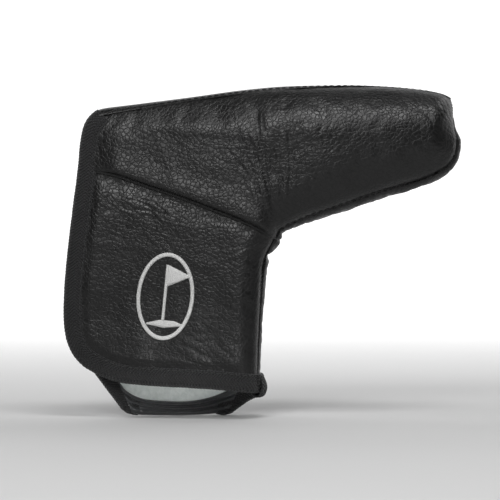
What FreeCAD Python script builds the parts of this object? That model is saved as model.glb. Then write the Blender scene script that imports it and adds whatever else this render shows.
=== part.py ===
"""Head cover for a blade putter: padded leather, hook-and-loop closure, hanging open at the mouth.

Frame: millimetres, +Z up, +X towards the toe of the putter, -Y is the front face.
The origin is the centre of the mouth, at the height of the front hem.

The cover is built as nested volumes. Every volume is the same padded outline, set in by an
amount called an inset, so a layer such as the leather is one volume minus the next one in.
"""
import FreeCAD, Part
import math
import os

import Sketcher
from FreeCAD import Placement, Rotation, Vector

doc = FreeCAD.newDocument("PutterHeadCover")
sheet = doc.addObject("Spreadsheet::Sheet", "Sizes")

# ---------------------------------------------------------------- driving dimensions
SIZES = {
    "leather_thick": 1.0,
    "foam_thick": 2.15,
    "lining_thick": 0.85,
    "layer_gap": 0.15,
    "binding_thick": 0.85,
    "binding_width": 7.5,
    "binding_cap": 1.0,
    "seam_gap": 0.2,
    "thread_width": 0.7,
    "thread_height": 0.4,
    "thread_clear": 0.1,
    "stitch_inset": 6.2,
    "gusset_width": 22.0,
    "gusset_start": 30.0,
    "gusset_end_height": 121.0,
    "gusset_hem": -3.2,
    "spine_heel": 103.0,
    "spine_toe": 114.0,
    "mouth_floor": -26.0,
    "seam_heel_x": -41.0,
    "seam_heel_z": 101.5,
    "seam_crotch_x": 44.0,
    "seam_crotch_z": 69.5,
    "fold_top_x": -36.0,
    "fold_top_z": 129.5,
    "fold_foot_x": 42.5,
    "fold_foot_z": 4.0,
    "fold_gap": 0.5,
    "tape_width": 13.0,
    "tape_length": 60.0,
    "tape_clear": 1.3,
    "tape_z": 64.0,
    "tape_lean": 5.5,
    "emblem_x": -7.0,
    "emblem_z": 42.0,
    "emblem_wide": 27.0,
    "emblem_tall": 41.0,
    "emblem_border": 1.6,
    "emblem_lean": 6.0,
    "emblem_thick": 0.5,
    "topstitch_y": 2.6,
}

# Stations along the cover, heel to toe: place, height of the crest, half the depth.
STATIONS = {
    "heel": (-58.0, 126.6, 5.9),
    "closure": (-30.0, 131.4, 5.9),
    "neck": (40.0, 140.0, 20.0),
    "crotch": (60.0, 141.0, 22.0),
    "arm": (85.0, 141.0, 21.5),
    "shoulder": (107.0, 139.8, 20.0),
    "toe_start": (121.0, 138.2, 17.5),
    "toe_round": (127.5, 135.2, 13.5),
    "toe_end": (132.5, 128.0, 9.5),
}

# Outlines in the XZ plane, each corner as (name, x, z).
BODY_OUTLINE = (
    ("heel_low", -66.0, -40.0),
    ("hem_right", 35.5, -40.0),
    ("neck_low", 37.6, 8.5),
    ("neck_high", 42.3, 61.5),
    ("crotch", 48.0, 71.5),
    ("under_near", 61.0, 76.6),
    ("under_far", 98.7, 88.8),
    ("toe_low", 121.7, 98.7),
    ("toe_chin", 130.5, 105.8),
    ("toe_tip", 132.0, 114.5),
    ("toe_brow", 128.3, 126.0),
    ("toe_crown", 125.5, 152.0),
    ("heel_high", -66.0, 152.0),
)
FRONT_OUTLINE = (
    ("crown", -38.5, 134.0),
    ("shoulder", -46.6, 120.5),
    ("upper", -49.3, 95.0),
    ("middle", -53.1, 65.0),
    ("lower", -55.0, 43.0),
    ("corner_high", -55.0, 26.5),
    ("corner_side", -51.8, 16.0),
    ("corner_turn", -46.0, 9.2),
    ("corner_low", -37.5, 4.3),
    ("hem_left", -28.0, 1.4),
    ("hem_right", 27.0, -2.0),
    ("hem_side", 42.0, -2.8),
    ("far_low", 160.0, -2.8),
    ("far_high", 160.0, 170.0),
    ("far_heel", -38.5, 170.0),
)
BACK_OUTLINE = (
    ("crown", -38.0, 134.0),
    ("shoulder", -46.0, 120.5),
    ("upper", -48.7, 95.0),
    ("middle", -52.5, 65.0),
    ("lower", -54.3, 43.0),
    ("corner_high", -54.3, 28.0),
    ("slant_high", -50.8, 20.5),
    ("slant_low", -24.5, -12.6),
    ("tail_left", -17.0, -13.6),
    ("tail_right", 17.0, -13.4),
    ("tail_corner", 24.0, -12.4),
    ("rise", 28.0, -8.0),
    ("hem_side", 38.0, -3.6),
    ("far_low", 160.0, -3.6),
    ("far_high", 160.0, 170.0),
    ("far_heel", -38.0, 170.0),
)
FACING_OUTLINE = (
    ("left_end", -28.5, 0.5),
    ("left_curve", -18.5, -6.0),
    ("left_sag", -7.0, -7.8),
    ("right_sag", 6.0, -7.4),
    ("right_curve", 21.5, -3.4),
    ("right_end", 26.5, -2.2),
    ("foot_right", 26.5, -20.0),
    ("foot_left", -28.5, -20.0),
)
FLAG_OUTLINE = (
    ("pole_left", -8.9, 31.0),
    ("pole_right", -7.7, 31.0),
    ("pennant_low", -6.1, 46.6),
    ("pennant_tip", 4.6, 51.2),
    ("pole_top", -5.2, 56.8),
    ("pole_corner", -6.4, 56.8),
)
MOUND_OUTLINE = (
    ("left", -16.0, 29.4),
    ("low_left", -8.0, 27.2),
    ("low_right", 1.5, 28.0),
    ("high_right", -3.0, 29.8),
    ("high_left", -10.0, 30.2),
)
TAIL_REGION_LEFT = -18.5
TAIL_REGION_RIGHT = 19.0
REACH = 60.0
CREST_FACETS = 10


def fill_sheet(values):
    """Write each size as a named cell of the sheet."""
    for row, (alias, value) in enumerate(values.items(), start=1):
        sheet.set(f"A{row}", alias)
        sheet.set(f"B{row}", str(value))
        sheet.setAlias(f"B{row}", alias)
    doc.recompute()


def outline_values(prefix, corners):
    """Return the cells that hold an outline's corners."""
    cells = {}
    for name, x, z in corners:
        cells[f"{prefix}_{name}_x"] = x
        cells[f"{prefix}_{name}_z"] = z
    return cells


ALL_SIZES = dict(SIZES)
for station, (place, crest, half) in STATIONS.items():
    ALL_SIZES[f"{station}_x"] = place
    ALL_SIZES[f"{station}_crest"] = crest
    ALL_SIZES[f"{station}_half"] = half
OUTLINES = {
    "body": BODY_OUTLINE,
    "front": FRONT_OUTLINE,
    "back": BACK_OUTLINE,
    "facing": FACING_OUTLINE,
    "flag": FLAG_OUTLINE,
    "mound": MOUND_OUTLINE,
}
for outline, corner_list in OUTLINES.items():
    ALL_SIZES.update(outline_values(outline, corner_list))
ALL_SIZES["tail_left_x"] = TAIL_REGION_LEFT
ALL_SIZES["tail_right_x"] = TAIL_REGION_RIGHT
ALL_SIZES["reach"] = REACH
fill_sheet(ALL_SIZES)


def size(expression):
    """Write an expression with each named size pointing at the sheet."""
    words = []
    for word in expression.split(" "):
        words.append(f"Sizes.{word}" if word in ALL_SIZES else word)
    return " ".join(words)


def bind(item, **bindings):
    """Bind each property of an item to an expression of named sizes."""
    for name, expression in bindings.items():
        item.setExpression(name.replace("__", "."), size(expression))


# ---------------------------------------------------------------- insets, outer face first
LEATHER_IN = "( leather_thick )"
FOAM_OUT = "( leather_thick + layer_gap )"
FOAM_IN = "( leather_thick + layer_gap + foam_thick )"
LINING_OUT = "( leather_thick + 2 * layer_gap + foam_thick )"
LINING_IN = "( leather_thick + 2 * layer_gap + foam_thick + lining_thick )"
WALL_CLEAR_OUT = "( 0 - layer_gap )"
WALL_CLEAR_IN = f"( {LINING_IN} + layer_gap )"
BINDING_OUT = "( 0 - layer_gap - binding_thick )"
BINDING_IN = f"( {LINING_IN} + layer_gap + binding_thick )"
THREAD_OUT = f"( {BINDING_OUT} - thread_clear - thread_height )"
THREAD_IN = f"( {BINDING_OUT} - thread_clear )"


def boolean(kind, name, base, tool):
    """Make a Cut or Common of two items."""
    item = doc.addObject(f"Part::{kind}", name)
    item.Base = base
    item.Tool = tool
    return item


def miters(corners):
    """Return, for each corner, the way it moves when the outline is set in by one millimetre."""
    points = [(x, z) for _, x, z in corners]
    count = len(points)
    area = 0.0
    normals = []
    for i in range(count):
        x, z = points[i]
        next_x, next_z = points[(i + 1) % count]
        area += x * next_z - next_x * z
        run = math.hypot(next_x - x, next_z - z)
        normals.append(((z - next_z) / run, (next_x - x) / run))
    turn = 1.0 if area > 0 else -1.0
    ways = []
    for i in range(count):
        ax, az = normals[i - 1]
        bx, bz = normals[i]
        spread = 1.0 + ax * bx + az * bz
        ways.append((turn * (ax + bx) / spread, turn * (az + bz) / spread))
    return ways


def polygon(name, prefix, inset="( 0 )"):
    """Draw a closed outline in the XZ plane, set in by an inset, each corner held by two sizes."""
    corners = OUTLINES[prefix]
    sketch = doc.addObject("Sketcher::SketchObject", name)
    sketch.Placement = Placement(Vector(0, 0, 0), Rotation(Vector(1, 0, 0), 90))
    count = len(corners)
    points = [Vector(x, z, 0) for _, x, z in corners]
    for i in range(count):
        sketch.addGeometry(Part.LineSegment(points[i], points[(i + 1) % count]), False)
    for i in range(count):
        sketch.addConstraint(Sketcher.Constraint("Coincident", i, 2, (i + 1) % count, 1))
    for i, ((corner, x, z), (way_x, way_z)) in enumerate(zip(corners, miters(corners))):
        across = sketch.addConstraint(Sketcher.Constraint("DistanceX", -1, 1, i, 1, x))
        up = sketch.addConstraint(Sketcher.Constraint("DistanceY", -1, 1, i, 1, z))
        sketch.setExpression(f"Constraints[{across}]",
                             size(f"{prefix}_{corner}_x + {inset} * {way_x:.5f}"))
        sketch.setExpression(f"Constraints[{up}]",
                             size(f"{prefix}_{corner}_z + {inset} * {way_z:.5f}"))
    return sketch


def extrude(name, outline, front, back):
    """Push an outline along Y, from the front distance to the back distance."""
    item = doc.addObject("Part::Extrusion", name)
    item.Base = outline
    item.DirMode = "Custom"
    item.Dir = Vector(0, 1, 0)
    item.Solid = True
    bind(item, LengthFwd=back, LengthRev=f"0 - ( {front} )")
    return item


SPINE_SLOPE = "( ( spine_toe - spine_heel ) / ( toe_end_x - heel_x ) )"


def spine(place):
    """Height at which the side walls start to curve over to the crest."""
    return f"( spine_heel + {SPINE_SLOPE} * ( {place} - heel_x ) )"


def arch_section(name, station, inset):
    """Draw the cover's cross section at a station: two upright walls under a rounded crest."""
    sketch = doc.addObject("Sketcher::SketchObject", name)
    across_y = Rotation(Vector(0, 1, 0), Vector(0, 0, 1), Vector(1, 0, 0), "ZXY")
    sketch.Placement = Placement(Vector(0, 0, 0), across_y)
    bind(sketch, Placement__Base__x=f"{station}_x")
    low = spine(f"{station}_x")
    _, crest_now, half_now = STATIONS[station]
    corners = [(-half_now, SIZES["mouth_floor"], "0 - 1", "mouth_floor")]
    for step in range(CREST_FACETS + 1):
        turn = math.pi * (1.0 - step / CREST_FACETS)
        rise = math.sin(turn)
        corners.append((half_now * math.cos(turn), SIZES["spine_heel"] + rise,
                        f"{math.cos(turn):.6f}",
                        f"{low} + ( {station}_crest - {low} - {inset} ) * {rise:.6f}"))
    corners.append((half_now, SIZES["mouth_floor"], "1", "mouth_floor"))
    points = [Vector(y, z, 0) for y, z, _, _ in corners]
    count = len(corners)
    for i in range(count):
        sketch.addGeometry(Part.LineSegment(points[i], points[(i + 1) % count]), False)
    for i in range(count):
        sketch.addConstraint(Sketcher.Constraint("Coincident", i, 2, (i + 1) % count, 1))
    for i, (y, z, side, height) in enumerate(corners):
        across = sketch.addConstraint(Sketcher.Constraint("DistanceX", -1, 1, i, 1, y))
        up = sketch.addConstraint(Sketcher.Constraint("DistanceY", -1, 1, i, 1, z))
        sketch.setExpression(f"Constraints[{across}]",
                             size(f"( {station}_half - {inset} ) * ( {side} )"))
        sketch.setExpression(f"Constraints[{up}]", size(height))
    return sketch


def volume(name, inset):
    """Make the cover's outer volume, set in by an inset."""
    arch = doc.addObject("Part::Loft", f"{name}_arch")
    arch.Sections = [arch_section(f"{name}_{station}", station, inset) for station in STATIONS]
    arch.Solid = True
    arch.Ruled = True
    outline = extrude(f"{name}_outline", polygon(f"{name}_edge", "body", inset),
                      "0 - reach", "reach")
    return boolean("Common", name, arch, outline)


def box(name, x, y, z, length, width, height):
    """Make a box from its low corner and its sizes, all expressions."""
    item = doc.addObject("Part::Box", name)
    bind(item, Length=length, Width=width, Height=height, Placement__Base__x=x,
         Placement__Base__y=y, Placement__Base__z=z)
    return item


def half_space(name, start, finish, side, clear):
    """Make a large box on one side of the line from start to finish, clear of it by a distance.

    Side 1 is above and right of the line, side -1 is below and left of it.
    """
    angle = f"atan( ( {start}_z - {finish}_z ) / ( {finish}_x - {start}_x ) )"
    shift = clear if side > 0 else f"( 0 - {clear} - 4 * reach )"
    item = doc.addObject("Part::Box", name)
    item.Placement = Placement(Vector(0, 0, 0), Rotation(Vector(0, 1, 0), 10))
    bind(item, Length="8 * reach", Width="2 * reach", Height="4 * reach")
    bind(item, Placement__Rotation__Angle=angle)
    bind(item, Placement__Base__y="0 - reach",
         Placement__Base__x=f"{start}_x - 4 * reach * cos( {angle} ) + {shift} * sin( {angle} )",
         Placement__Base__z=f"{start}_z + 4 * reach * sin( {angle} ) + {shift} * cos( {angle} )")
    return item


# ---------------------------------------------------------------- regions that cut the layers
FRONT_FACE = "0 - seam_gap / 2"
BACK_FACE = "seam_gap / 2"

above_seam = half_space("above_seam", "seam_heel", "seam_crotch", 1, "( seam_gap / 2 )")
below_seam = half_space("below_seam", "seam_heel", "seam_crotch", -1, "( seam_gap / 2 )")
fixed_side = half_space("fixed_side", "fold_top", "fold_foot", 1, "( fold_gap / 2 )")
flap_side = half_space("flap_side", "fold_top", "fold_foot", -1, "( fold_gap / 2 )")

gusset_box = box("gusset_box", "gusset_start", "0 - gusset_width / 2", "gusset_hem + binding_cap",
                 "4 * reach", "gusset_width",
                 "gusset_end_height - gusset_hem - binding_cap")
gusset_room = box("gusset_room", "gusset_start - seam_gap", "0 - gusset_width / 2 - seam_gap",
                  "0 - reach", "4 * reach", "gusset_width + 2 * seam_gap",
                  "gusset_end_height + seam_gap + reach")


def panel_region(name, edge, inset, front, back):
    """Make the region of one panel: its outline set in, less the room for the gusset."""
    prism = extrude(f"{name}_prism", polygon(f"{name}_edge", edge, inset), front, back)
    return boolean("Cut", name, prism, gusset_room)


front_region = panel_region("front_region", "front", "binding_cap", "0 - reach", FRONT_FACE)
back_region = panel_region("back_region", "back", "binding_cap", BACK_FACE, "reach")

# ---------------------------------------------------------------- the nested volumes
INSETS = {
    "skin": "( 0 )",
    "leather_in": LEATHER_IN,
    "foam_out": FOAM_OUT,
    "foam_in": FOAM_IN,
    "lining_out": LINING_OUT,
    "lining_in": LINING_IN,
    "clear_out": WALL_CLEAR_OUT,
    "clear_in": WALL_CLEAR_IN,
    "binding_out": BINDING_OUT,
    "binding_in": BINDING_IN,
    "thread_out": THREAD_OUT,
    "thread_in": THREAD_IN,
    "emblem_out": "( 0 - layer_gap - emblem_thick )",
}
VOLUMES = {name: volume(f"volume_{name}", inset) for name, inset in INSETS.items()}


def shell(name, outer, inner):
    """Make the layer between two of the nested volumes."""
    return boolean("Cut", name, VOLUMES[outer], VOLUMES[inner])


nodes = {}


def keep(name, item):
    """Name an item as one piece of the cover."""
    item.Label = name
    nodes[name] = item


# ---------------------------------------------------------------- leather, foam and lining
LAYERS = {
    "leather": shell("leather_shell", "skin", "leather_in"),
    "foam": shell("foam_shell", "foam_out", "foam_in"),
    "lining": shell("lining_shell", "lining_out", "lining_in"),
}
for layer, layer_shell in LAYERS.items():
    front = boolean("Common", f"front_{layer}_all", layer_shell, front_region)
    fixed = boolean("Common", f"front_{layer}_fixed", front, fixed_side)
    flap = boolean("Common", f"front_{layer}_flap", front, flap_side)
    back = boolean("Common", f"back_{layer}_all", layer_shell, back_region)
    keep(f"gusset_{layer}", boolean("Common", f"gusset_{layer}", layer_shell, gusset_box))
    if layer == "leather":
        keep("front_toe_leather", boolean("Common", "front_toe_leather", fixed, above_seam))
        keep("front_neck_leather", boolean("Common", "front_neck_leather", fixed, below_seam))
        keep("flap_toe_leather", boolean("Common", "flap_toe_leather", flap, above_seam))
        keep("flap_neck_leather", boolean("Common", "flap_neck_leather", flap, below_seam))
        keep("back_toe_leather", boolean("Common", "back_toe_leather", back, above_seam))
        keep("back_neck_leather", boolean("Common", "back_neck_leather", back, below_seam))
    else:
        keep(f"front_{layer}", fixed)
        keep(f"flap_{layer}", flap)
        keep(f"back_{layer}", back)

# ---------------------------------------------------------------- twill binding
binding_shell = shell("binding_shell", "binding_out", "binding_in")
wall_clear = shell("wall_clear", "clear_out", "clear_in")


def edge_band(name, edge, front, back, width):
    """Make the band of one panel's outline that a binding covers."""
    outer = extrude(f"{name}_outer", polygon(f"{name}_outer_edge", edge), front, back)
    inner = extrude(f"{name}_inner", polygon(f"{name}_inner_edge", edge, width), "0 - 2 * reach",
                    "2 * reach")
    return boolean("Cut", name, outer, inner)


def wall_room(name, edge):
    """Make the room that a panel's wall takes inside its binding."""
    prism = extrude(f"{name}_prism",
                    polygon(f"{name}_edge", edge, "( binding_cap - layer_gap )"),
                    "0 - 2 * reach", "2 * reach")
    return boolean("Common", name, wall_clear, prism)


front_band = edge_band("front_band", "front", "0 - reach", FRONT_FACE, "binding_width")
front_band_side = boolean("Cut", "front_band_side", front_band, gusset_room)
front_band_flap = boolean("Common", "front_band_flap", front_band_side, flap_side)
front_tape = boolean("Common", "front_tape", binding_shell, front_band_flap)
front_wall = wall_room("front_wall", "front")
keep("front_binding", boolean("Cut", "front_binding", front_tape, front_wall))

back_band = edge_band("back_band", "back", BACK_FACE, "reach", "binding_width")
back_band_side = boolean("Cut", "back_band_side", back_band, gusset_room)
tail_box = box("tail_box", "tail_left_x", "0 - reach", "0 - reach", "tail_right_x - tail_left_x",
               "2 * reach", "reach + 5")
back_band_ends = boolean("Cut", "back_band_ends", back_band_side, tail_box)
back_tape = boolean("Common", "back_tape", binding_shell, back_band_ends)
back_wall = wall_room("back_wall", "back")
keep("back_binding", boolean("Cut", "back_binding", back_tape, back_wall))

gusset_band = box("gusset_band", "gusset_start", "0 - gusset_width / 2", "gusset_hem",
                  "reach", "gusset_width", "binding_width")
gusset_tape = boolean("Common", "gusset_tape", binding_shell, gusset_band)
gusset_wall_box = box("gusset_wall_box", "0 - 2 * reach", "0 - reach",
                      "gusset_hem + binding_cap - layer_gap", "4 * reach", "2 * reach", "reach")
gusset_wall = boolean("Common", "gusset_wall", wall_clear, gusset_wall_box)
keep("gusset_binding", boolean("Cut", "gusset_binding", gusset_tape, gusset_wall))

# ---------------------------------------------------------------- facing inside the tail
facing_shell = shell("facing_shell", "skin", "binding_in")
facing_prism = extrude("facing_prism", polygon("facing_edge", "facing"), BACK_FACE, "reach")
facing_limit = extrude("facing_limit", polygon("facing_limit_edge", "back"), "0 - reach", "reach")
facing_area = boolean("Common", "facing_area", facing_prism, facing_limit)
facing_blank = boolean("Common", "facing_blank", facing_shell, facing_area)
facing_less_wall = boolean("Cut", "facing_less_wall", facing_blank, back_wall)
keep("hem_facing", boolean("Common", "hem_facing", facing_less_wall, tail_box))


# ---------------------------------------------------------------- hook and loop tapes
# Each tape fills the room between its lining and the middle of the closed edge.
TAPE_THICK = f"( closure_half - {LINING_IN} - 2 * layer_gap )"
TAPE_X = "( back_middle_x + binding_width + tape_clear + tape_width / 2 )"


def closure_tape(name, near):
    """Make one half of the hook-and-loop closure, lying along the bound edge."""
    item = doc.addObject("Part::Box", name)
    item.Placement = Placement(Vector(0, 0, 0), Rotation(Vector(0, 1, 0), 5))
    bind(item, Length="tape_width", Width=TAPE_THICK, Height="tape_length")
    bind(item, Placement__Rotation__Angle="tape_lean * 1 deg")
    lean = "tape_lean * 1 deg"
    bind(item, Placement__Base__y=near,
         Placement__Base__x=f"{TAPE_X} - tape_width / 2 * cos( {lean} )"
                            f" - tape_length / 2 * sin( {lean} )",
         Placement__Base__z=f"tape_z + tape_width / 2 * sin( {lean} )"
                            f" - tape_length / 2 * cos( {lean} )")
    keep(name, item)


closure_tape("hook_tape", "layer_gap")
closure_tape("loop_tape", f"0 - layer_gap - {TAPE_THICK}")

# ---------------------------------------------------------------- stitching
thread_shell = shell("thread_shell", "thread_out", "thread_in")


def stitch_band(name, edge, front, back):
    """Make the narrow band that a row of stitches follows along a panel's edge."""
    outer = extrude(f"{name}_outer", polygon(f"{name}_outer_edge", edge, "stitch_inset"), front, back)
    inner = extrude(f"{name}_inner",
                    polygon(f"{name}_inner_edge", edge, "( stitch_inset + thread_width )"),
                    "0 - 2 * reach", "2 * reach")
    return boolean("Cut", name, outer, inner)


front_stitch_band = stitch_band("front_stitch_band", "front", "0 - reach", FRONT_FACE)
front_stitch_side = boolean("Cut", "front_stitch_side", front_stitch_band, gusset_room)
front_stitch_flap = boolean("Common", "front_stitch_flap", front_stitch_side, flap_side)
keep("front_binding_stitch", boolean("Common", "front_binding_stitch", thread_shell,
                                     front_stitch_flap))

back_stitch_band = stitch_band("back_stitch_band", "back", BACK_FACE, "reach")
back_stitch_side = boolean("Cut", "back_stitch_side", back_stitch_band, gusset_room)
back_stitch_ends = boolean("Cut", "back_stitch_ends", back_stitch_side, tail_box)
keep("back_binding_stitch", boolean("Common", "back_binding_stitch", thread_shell,
                                    back_stitch_ends))

topstitch_shell = shell("topstitch_shell", "emblem_out", "clear_out")
topstitch_band = box("topstitch_band", "fold_top_x + 4", "0 - topstitch_y - thread_width",
                     "gusset_end_height", "toe_start_x - fold_top_x - 4", "thread_width", "reach")
keep("top_seam_stitch", boolean("Common", "top_seam_stitch", topstitch_shell, topstitch_band))

# ---------------------------------------------------------------- embroidered emblem


def emblem_oval(name, narrower):
    """Make an upright oval on the neck, as a prism along Y."""
    oval = doc.addObject("Part::Ellipse", name)
    upright = Rotation(Vector(0, 0, 1), Vector(1, 0, 0), Vector(0, 1, 0), "ZXY")
    lean = Rotation(Vector(0, 1, 0), SIZES["emblem_lean"])
    oval.Placement = Placement(Vector(0, 0, 0), lean * upright)
    bind(oval, MajorRadius=f"emblem_tall / 2 - {narrower}",
         MinorRadius=f"emblem_wide / 2 - {narrower}",
         Placement__Base__x="emblem_x", Placement__Base__z="emblem_z")
    return extrude(f"{name}_prism", oval, "0 - reach", FRONT_FACE)


border = boolean("Cut", "emblem_border_ring", emblem_oval("emblem_oval", "0"),
                 emblem_oval("emblem_field", "emblem_border"))
flag_prism = extrude("flag_prism", polygon("flag_edge", "flag"), "0 - reach", FRONT_FACE)
mound_prism = extrude("mound_prism", polygon("mound_edge", "mound"), "0 - reach", FRONT_FACE)
design = doc.addObject("Part::MultiFuse", "emblem_design")
design.Shapes = [border, flag_prism, mound_prism]
keep("emblem", boolean("Common", "emblem", topstitch_shell, design))

# ---------------------------------------------------------------- check and write
doc.recompute()
faults = [item.Name for item in doc.Objects if "Invalid" in item.State or "Error" in item.State]
for name, item in nodes.items():
    if item.Shape.isNull() or not item.Shape.isValid() or item.Shape.Volume < 1.0:
        faults.append(name)
if faults:
    raise RuntimeError(f"These items failed: {faults}")

os.makedirs("parts", exist_ok=True)
for name, item in nodes.items():
    item.Shape.exportStep(f"parts/{name}.step")
    box_now = item.Shape.BoundBox
    print(f"{name}: {len(item.Shape.Solids)} solid, {item.Shape.Volume:.0f} mm3, "
          f"x {box_now.XMin:.1f} {box_now.XMax:.1f} y {box_now.YMin:.1f} {box_now.YMax:.1f} "
          f"z {box_now.ZMin:.1f} {box_now.ZMax:.1f}")
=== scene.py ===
"""Visual model of the putter head cover: padded leather, twill binding, lining, stitches, emblem.

Shapes are worked out in millimetres in the CAD frame and written to Blender in metres.
"""
import math

import bmesh
import bpy
import numpy as np
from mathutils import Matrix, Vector
from mathutils.bvhtree import BVHTree


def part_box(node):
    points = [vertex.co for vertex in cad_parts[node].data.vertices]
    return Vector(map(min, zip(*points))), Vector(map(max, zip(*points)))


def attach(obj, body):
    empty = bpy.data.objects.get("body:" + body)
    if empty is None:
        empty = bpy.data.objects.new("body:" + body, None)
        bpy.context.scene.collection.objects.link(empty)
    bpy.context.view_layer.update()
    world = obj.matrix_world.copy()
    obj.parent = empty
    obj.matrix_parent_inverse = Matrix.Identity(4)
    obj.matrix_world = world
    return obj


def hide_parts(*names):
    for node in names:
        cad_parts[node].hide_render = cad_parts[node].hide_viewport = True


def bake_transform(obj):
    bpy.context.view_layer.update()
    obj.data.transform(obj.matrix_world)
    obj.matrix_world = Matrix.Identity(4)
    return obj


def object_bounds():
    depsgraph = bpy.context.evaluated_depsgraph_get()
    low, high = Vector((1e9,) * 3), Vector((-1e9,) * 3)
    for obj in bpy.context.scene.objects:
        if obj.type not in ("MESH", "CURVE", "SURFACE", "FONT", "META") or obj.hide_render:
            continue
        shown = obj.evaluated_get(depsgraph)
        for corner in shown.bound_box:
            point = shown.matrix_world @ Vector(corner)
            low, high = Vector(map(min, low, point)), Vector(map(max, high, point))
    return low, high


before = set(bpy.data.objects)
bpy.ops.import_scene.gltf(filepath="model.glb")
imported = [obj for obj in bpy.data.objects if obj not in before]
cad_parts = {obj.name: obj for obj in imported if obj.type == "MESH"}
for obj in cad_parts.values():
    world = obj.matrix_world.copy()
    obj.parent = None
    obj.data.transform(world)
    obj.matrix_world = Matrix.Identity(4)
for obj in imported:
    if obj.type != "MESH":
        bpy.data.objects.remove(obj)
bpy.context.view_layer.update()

MM = 0.001

# ---------------------------------------------------------------- the cover's lines, in mm (x, z)
CROTCH = (44.6, 69.4)
TOE_CHIN = (119.5, 99.8)
CREST = ((-62, 126.4), (-42, 130.1), (-36, 131.6), (-20, 133.6), (5, 136.8), (30, 140.2), (52, 142.0),
         (80, 142.2), (106, 140.9), (121, 138.9), (128.8, 136.2), (136, 129.5))
TOP_SEAM = ((-44, 126.0), (-37, 127.6), (-19, 130.8), (0, 133.8), (22, 136.9), (47, 139.6), (66, 141.1),
            (84, 141.8), (104, 140.8), (121, 138.6), (128.6, 136.0))
SEAM = ((-52, 103.6), (-41, 101.6), (-30, 99.3), (-19, 95.5), (-5, 90.8), (9.5, 85.5), (28, 78.2),
        (39.5, 72.6), CROTCH)
NECK_RIDGE = ((36.4, -3.2), (36.6, 12), (37.4, 30), (38.4, 46), (39.8, 58), (42.2, 64.6), CROTCH)
ARM_RIDGE = (CROTCH, (48.2, 74.2), (60, 79.8), (75, 85.0), (96, 92.2), (111, 96.6), TOE_CHIN)
TOE_RIDGE = (TOE_CHIN, (125.8, 103.6), (129.4, 109.0), (130.3, 116.0), (129.6, 123.5),
             (129.5, 130.0), (128.6, 136.0))
FRONT_LEFT = ((-39.8, 130.6), (-45.0, 124.6), (-47.2, 115.5), (-48.6, 101), (-50.6, 86), (-53.0, 66),
              (-54.6, 50), (-55.2, 36), (-54.6, 24.5), (-51.6, 15.6), (-46.4, 9.4), (-38.4, 4.6))
FRONT_HEM = ((-38.4, 4.6), (-28, 1.4), (-10, 0.0), (8, -0.8), (26.8, -2.0), (36.8, -3.2))
BACK_LEFT = ((-39.4, 130.4), (-44.6, 124.0), (-46.8, 114.5), (-48.2, 100), (-50.2, 85), (-52.6, 65),
             (-54.1, 50), (-54.5, 36), (-53.8, 26.5), (-50.8, 19.0), (-43.2, 9.0), (-35.6, -1.2),
             (-27.6, -12.0))
BACK_TAIL = ((-27.6, -12.0), (-21, -14.2), (-8, -14.8), (6, -14.8), (18, -14.0), (24.4, -12.2))
BACK_RISE = ((24.4, -12.2), (27.6, -9.2), (31.5, -6.4), (36.4, -4.2))
FACING_TOP = ((-30.0, 0.6), (-25, -4.4), (-18, -7.4), (-8, -8.6), (3, -8.8), (13, -7.2), (21.5, -4.2),
              (27.6, -1.6))
HALF_DEPTH = ((-60, 5.3), (-48, 5.5), (-36, 6.3), (-20, 9.0), (0, 12.8), (20, 16.6), (38, 19.6),
              (50, 21.0), (65, 21.7), (85, 21.3), (105, 20.0), (118, 18.4), (128, 15.6), (136, 12.0))
SEAM_START_HEIGHT = 102.8

# The leather's thickness, how deep each face of the other layers lies, and the tape's width, in mm.
LEATHER_THICK = 1.0
PAD_OUTER = 1.45
PAD_INNER = 3.3
LINING_OUTER = 3.45
LINING_INNER = 4.3
BINDING_WIDTH = 7.0


def travelled(line):
    """Return the distance along a line at each of its points."""
    return np.concatenate(([0], np.cumsum(np.linalg.norm(np.diff(line, axis=0), axis=1))))


def places_at(line, distances):
    """Return the points at given distances along a line."""
    along = travelled(line)
    return np.stack([np.interp(distances, along, line[:, k]) for k in range(line.shape[1])], axis=1)


def smooth_line(points, count):
    """Return evenly spaced points on a smooth curve through the given ones."""
    p = np.array(points, float)
    p = np.vstack((2 * p[0] - p[1], p, 2 * p[-1] - p[-2]))
    pieces = []
    for i in range(1, len(p) - 2):
        t = np.linspace(0, 1, 24, endpoint=False)[:, None]
        a, b, c, d = p[i - 1], p[i], p[i + 1], p[i + 2]
        pieces.append(0.5 * (2 * b + (c - a) * t + (2 * a - 5 * b + 4 * c - d) * t ** 2
                             + (3 * b - a - 3 * c + d) * t ** 3))
    return resample(np.vstack(pieces + [p[-2][None, :]]), count)


def join_lines(*lines):
    """Join lines end to end and drop the repeated points."""
    return np.vstack([lines[0]] + [line[1:] for line in lines[1:]])


def side_of(front):
    """The sign of Y on a side of the cover: the front faces -Y."""
    return -1.0 if front else 1.0


def resample(line, count):
    """Return evenly spaced points along a polyline."""
    return places_at(line, np.linspace(0, travelled(line)[-1], count))


def resample_at(line, shares):
    """Return the points at given shares of a polyline's length."""
    return places_at(line, np.asarray(shares) * travelled(line)[-1])


def tangents(line):
    """Return the unit direction at each point of a line."""
    way = np.gradient(line, axis=0)
    return way / np.linalg.norm(way, axis=1)[:, None]


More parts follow.
